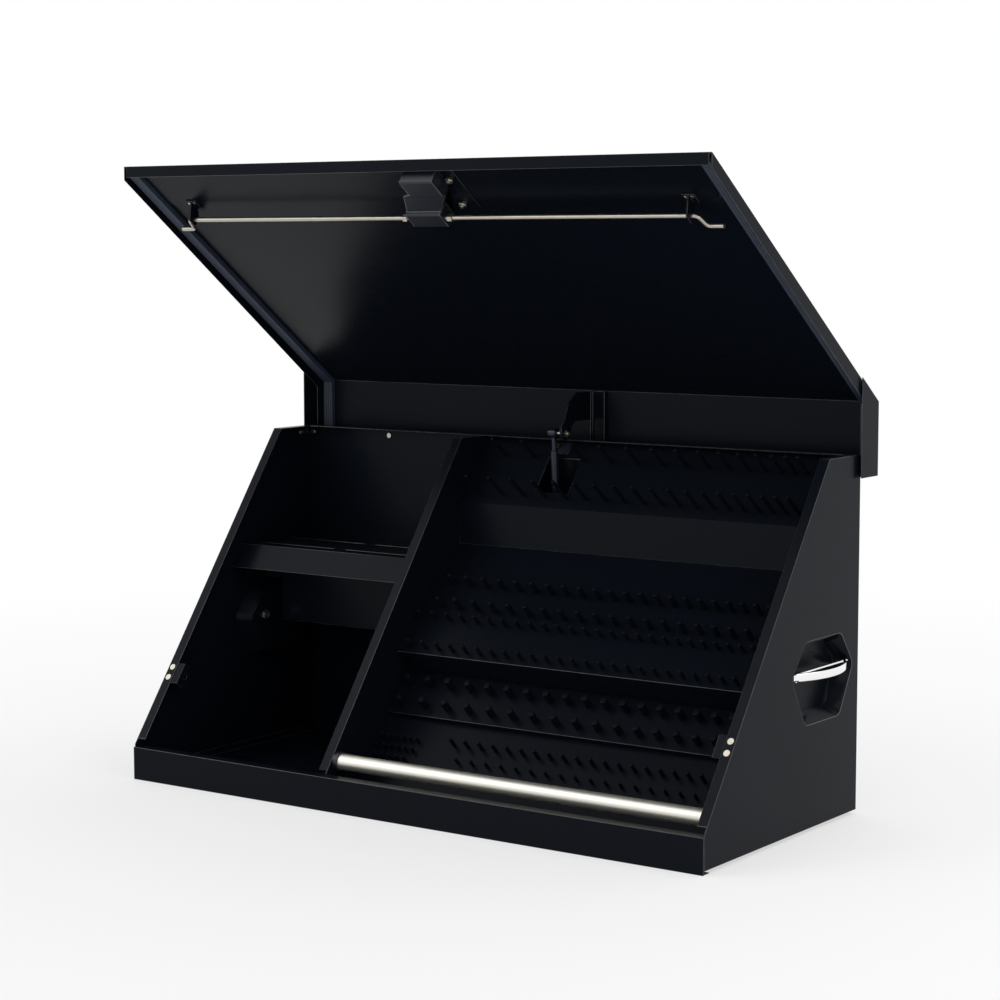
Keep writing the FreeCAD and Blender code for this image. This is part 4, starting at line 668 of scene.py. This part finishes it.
class CHEST_OT_strikers(ChestPiece, bpy.types.Operator):
    """Strikers that the latch rods enter, with their bolts"""

    bl_idname = "chest.strikers"
    bl_label = "Strikers"

    def build(self, sizes):
        dress("left_latch_striker", "black_paint", sizes.hardware_edge)
        dress("right_latch_striker", "black_paint", sizes.hardware_edge)
        dress("striker_bolts", "zinc_steel", sizes.hardware_edge)


class CHEST_OT_hinge(ChestPiece, bpy.types.Operator):
    """Both leaves of the long hinge and its pin"""

    bl_idname = "chest.hinge"
    bl_label = "Hinge"

    def build(self, sizes):
        for node in ("hinge_body_leaf", "hinge_lid_leaf", "hinge_pin"):
            dress(node, "zinc_steel", sizes.hinge_edge, 1)


class CHEST_OT_feet(ChestPiece, bpy.types.Operator):
    """Rubber feet and the rivets of the rear corner"""

    bl_idname = "chest.feet"
    bl_label = "Feet and rivets"

    def build(self, sizes):
        dress("rubber_feet", "black_rubber", sizes.foot_edge, 4)
        dress("wall_rivets", "zinc_steel", sizes.rivet_dome, 4)


class CHEST_OT_lid(ChestPiece, bpy.types.Operator):
    """Lid sheet, its cheeks and the front stiffener"""

    bl_idname = "chest.lid"
    bl_label = "Lid"

    def build(self, sizes):
        for node in ("lid_shell", "lid_left_cheek", "lid_right_cheek", "lid_front_stiffener"):
            dress(node, "black_paint", sizes.sheet_edge)


class CHEST_OT_seals(ChestPiece, bpy.types.Operator):
    """Ribbed rubber seals inside the lid"""

    bl_idname = "chest.seals"
    bl_label = "Lid seals"

    def build(self, sizes):
        for side in ("left", "right"):
            node = f"lid_seal_{side}"
            low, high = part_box(node)
            stations = self.stations(node)
            thickness = (stations[0][1] - stations[0][0]).length
            profile = seal_profile(sizes, thickness)
            rings = []
            for back, face in stations:
                wide = [low.x + (high.x - low.x) * share for share, deep in profile]
                deep = [back.lerp(face, deep) for share, deep in profile]
                rings.append([(x, point.x, point.y) for x, point in zip(wide, deep)])
            set_up(loft(rings), side.capitalize() + "LidSeal", "black_rubber", [node], angle=40.0)
        low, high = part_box("lid_seal_rear")
        profile = seal_profile(sizes, high.y - low.y)
        rings = []
        for x in (low.x, high.x):
            rings.append([
                (x, high.y - (high.y - low.y) * deep, low.z + (high.z - low.z) * share)
                for share, deep in profile
            ])
        set_up(loft(rings), "RearLidSeal", "black_rubber", ["lid_seal_rear"], angle=40.0)

    @staticmethod
    def stations(node):
        """Back and face of a side seal at its front end, its bend and its rear end, as (y, z)"""
        mesh = frame["nodes"][node].data
        found = {(round(vert.co.y, 5), round(vert.co.z, 5)) for vert in mesh.vertices}
        points = [Vector(point) for point in found]
        rear = sorted(points, key=lambda point: point.y)[:2]
        front = sorted(points, key=lambda point: point.x)[:2]
        bend = [point for point in points if point not in rear and point not in front]
        rear.sort(key=lambda point: -point.x)
        front.sort(key=lambda point: -point.y)
        bend.sort(key=lambda point: -point.x)
        return [front, bend, rear]


class CHEST_OT_latch(ChestPiece, bpy.types.Operator):
    """Latch in the lid: cover, plate, handle, lock, cam and nuts"""

    bl_idname = "chest.latch"
    bl_label = "Latch"

    def build(self, sizes):
        dress("latch_cover", "black_plastic", sizes.cover_edge, 4)
        dress("latch_base_plate", "black_paint", sizes.hardware_edge)
        dress("latch_nuts", "zinc_steel", sizes.nut_edge, 3)
        dress("latch_escutcheon", "bright_chrome", sizes.escutcheon_edge, 4)
        dress("latch_handle", "bright_chrome", sizes.latch_handle_edge, 4)
        dress("lock_cylinder", "zinc_steel", sizes.hardware_edge)
        dress("latch_cam", "zinc_steel", sizes.hardware_edge)


class CHEST_OT_latch_rods(ChestPiece, bpy.types.Operator):
    """Bent latch rods with their nuts and guides"""

    bl_idname = "chest.latch_rods"
    bl_label = "Latch rods"

    def build(self, sizes):
        for side in ("left", "right"):
            dress(side + "_latch_rod", "zinc_steel", sizes.hardware_edge)
            dress(side + "_rod_nut", "zinc_steel", sizes.rod_nut_edge, 3)
            dress(side + "_rod_guide", "black_paint", sizes.hardware_edge)
        dress("guide_rivets", "zinc_steel", sizes.rod_nut_edge, 3)


class CHEST_OT_strut(ChestPiece, bpy.types.Operator):
    """Gas strut with the arm, channel, ball stud and bracket that hold it"""

    bl_idname = "chest.strut"
    bl_label = "Gas strut"

    def build(self, sizes):
        dress("strut_cylinder", "strut_black", sizes.nut_edge, 3)
        dress("strut_rod", "bright_chrome", sizes.hardware_edge)
        dress("strut_arm", "black_paint", sizes.hardware_edge)
        dress("strut_arm_channel", "black_paint", sizes.sheet_edge)
        dress("strut_upper_ball_stud", "zinc_steel", 0.0)
        dress("strut_lower_bracket", "black_paint", sizes.hardware_edge)


class CHEST_OT_stage(bpy.types.Operator):
    """Floor, white surroundings, lamps and camera"""

    bl_idname = "chest.stage"
    bl_label = "Studio"
    bl_options = {"REGISTER", "UNDO"}

    def execute(self, context):
        scene = context.scene
        studio = scene.chest_studio
        scene.view_settings.view_transform = "Standard"
        self.floor(studio, scene.chest_colours)
        self.surroundings(scene, studio)
        self.lamp("key_lamp", studio.key_power, studio.key_size, studio.key_place, studio.lamp_aim)
        self.lamp("fill_lamp", studio.fill_power, studio.fill_size, studio.fill_place, studio.lamp_aim)
        self.lamp("top_lamp", studio.top_power, studio.top_size, studio.top_place, studio.lamp_aim)
        self.camera(scene, studio)
        return {"FINISHED"}

    @staticmethod
    def seen(finish):
        """1 for rays from the camera, and for those that glossy and clear surfaces send on"""
        kinds = ("Is Camera Ray", "Is Glossy Ray", "Is Transmission Ray")
        camera, glossy, clear = (finish.node("LightPath", output=kind) for kind in kinds)
        return finish.maths("MINIMUM", camera + glossy + clear, 1.0)

    def floor(self, studio, colours):
        finish = Finish("studio_floor")
        place = finish.node("TexCoord", output="Object")
        distance = finish.node("VectorMath", {"operation": "LENGTH"}, {0: place}, output="Value")
        fade = {
            "Value": distance, "From Min": studio.floor_near, "From Max": studio.floor_far,
            "To Min": studio.floor_glow, "To Max": 1.0,
        }
        far = finish.node("MapRange", {"interpolation_type": "SMOOTHSTEP"}, fade)
        matt = finish.node("BsdfDiffuse", inputs={"Color": tuple(colours.floor)})
        white = finish.node("Emission", inputs={"Strength": 1.0})
        shader = finish.node("MixShader", inputs={0: self.seen(finish) * far, 1: matt, 2: white})
        material = finish.output(shader)
        shape = bmesh.new()
        bmesh.ops.create_grid(shape, x_segments=1, y_segments=1, size=studio.floor_size / 2)
        mesh = bpy.data.meshes.new("studio_floor")
        shape.to_mesh(mesh)
        shape.free()
        mesh.materials.append(material)
        floor = bpy.data.objects.new("studio_floor", mesh)
        bpy.context.scene.collection.objects.link(floor)

    def surroundings(self, scene, studio):
        finish = Finish("studio_surroundings", "worlds")
        seen = self.seen(finish)
        strength = seen + (1.0 - seen) * studio.surroundings
        white = (1.0, 1.0, 1.0, 1.0)
        light = finish.node("Background", inputs={"Color": white, "Strength": strength})
        scene.world = finish.output(light, "ShaderNodeOutputWorld")

    @staticmethod
    def lamp(name, energy, size, place, target):
        data = bpy.data.lights.new(name, "AREA")
        data.energy = energy
        data.shape = "DISK"
        data.size = size
        lamp = bpy.data.objects.new(name, data)
        lamp.location = place
        aim = Vector(target) - Vector(place)
        lamp.rotation_euler = aim.to_track_quat("-Z", "Y").to_euler()
        bpy.context.scene.collection.objects.link(lamp)

    @staticmethod
    def camera(scene, studio):
        data = bpy.data.cameras.new("studio_camera")
        data.lens = studio.lens
        data.sensor_width = 36.0
        data.clip_start = 0.05
        data.clip_end = 200.0
        camera = bpy.data.objects.new("studio_camera", data)
        level = Matrix.Rotation(math.pi / 2, 4, "X")
        yaw = Matrix.Rotation(studio.camera_yaw, 4, "Z")
        pitch = Matrix.Rotation(-studio.camera_pitch, 4, "X")
        roll = Matrix.Rotation(-studio.camera_roll, 4, "Z")
        camera.matrix_world = Matrix.Translation(studio.camera_place) @ yaw @ pitch @ level @ roll
        scene.collection.objects.link(camera)
        scene.camera = camera


OPERATORS = (
    CHEST_OT_case_sheets, CHEST_OT_side_walls, CHEST_OT_handle_dishes, CHEST_OT_side_handles,
    CHEST_OT_shelf, CHEST_OT_panels, CHEST_OT_pegs, CHEST_OT_retaining_tube, CHEST_OT_strikers,
    CHEST_OT_hinge, CHEST_OT_feet, CHEST_OT_lid, CHEST_OT_seals, CHEST_OT_latch,
    CHEST_OT_latch_rods, CHEST_OT_strut, CHEST_OT_stage,
)


class CHEST_PT_panel(bpy.types.Panel):
    """Pieces of the tool chest"""

    bl_idname = "CHEST_PT_panel"
    bl_label = "Tool chest"
    bl_space_type = "VIEW_3D"
    bl_region_type = "UI"
    bl_category = "Tool chest"

    def draw(self, context):
        for operator in OPERATORS:
            self.layout.operator(operator.bl_idname)
        scene = context.scene
        for group in (scene.chest_sizes, scene.chest_colours, scene.chest_studio):
            for name in group.__annotations__:
                self.layout.prop(group, name)


CLASSES = (ChestSizes, ChestColours, ChestStudio) + OPERATORS + (CHEST_PT_panel,)


def register():
    for item in CLASSES:
        bpy.utils.register_class(item)
    bpy.types.Scene.chest_sizes = PointerProperty(type=ChestSizes)
    bpy.types.Scene.chest_colours = PointerProperty(type=ChestColours)
    bpy.types.Scene.chest_studio = PointerProperty(type=ChestStudio)


def unregister():
    del bpy.types.Scene.chest_studio
    del bpy.types.Scene.chest_colours
    del bpy.types.Scene.chest_sizes
    for item in reversed(CLASSES):
        bpy.utils.unregister_class(item)


def main():
    register()
    bpy.ops.chest.case_sheets()
    bpy.ops.chest.side_walls()
    bpy.ops.chest.handle_dishes()
    bpy.ops.chest.side_handles()
    bpy.ops.chest.shelf()
    bpy.ops.chest.panels()
    bpy.ops.chest.pegs()
    bpy.ops.chest.retaining_tube()
    bpy.ops.chest.strikers()
    bpy.ops.chest.hinge()
    bpy.ops.chest.feet()
    bpy.ops.chest.lid()
    bpy.ops.chest.seals()
    bpy.ops.chest.latch()
    bpy.ops.chest.latch_rods()
    bpy.ops.chest.strut()
    bpy.ops.chest.stage()


if __name__ == "__main__":
    main()
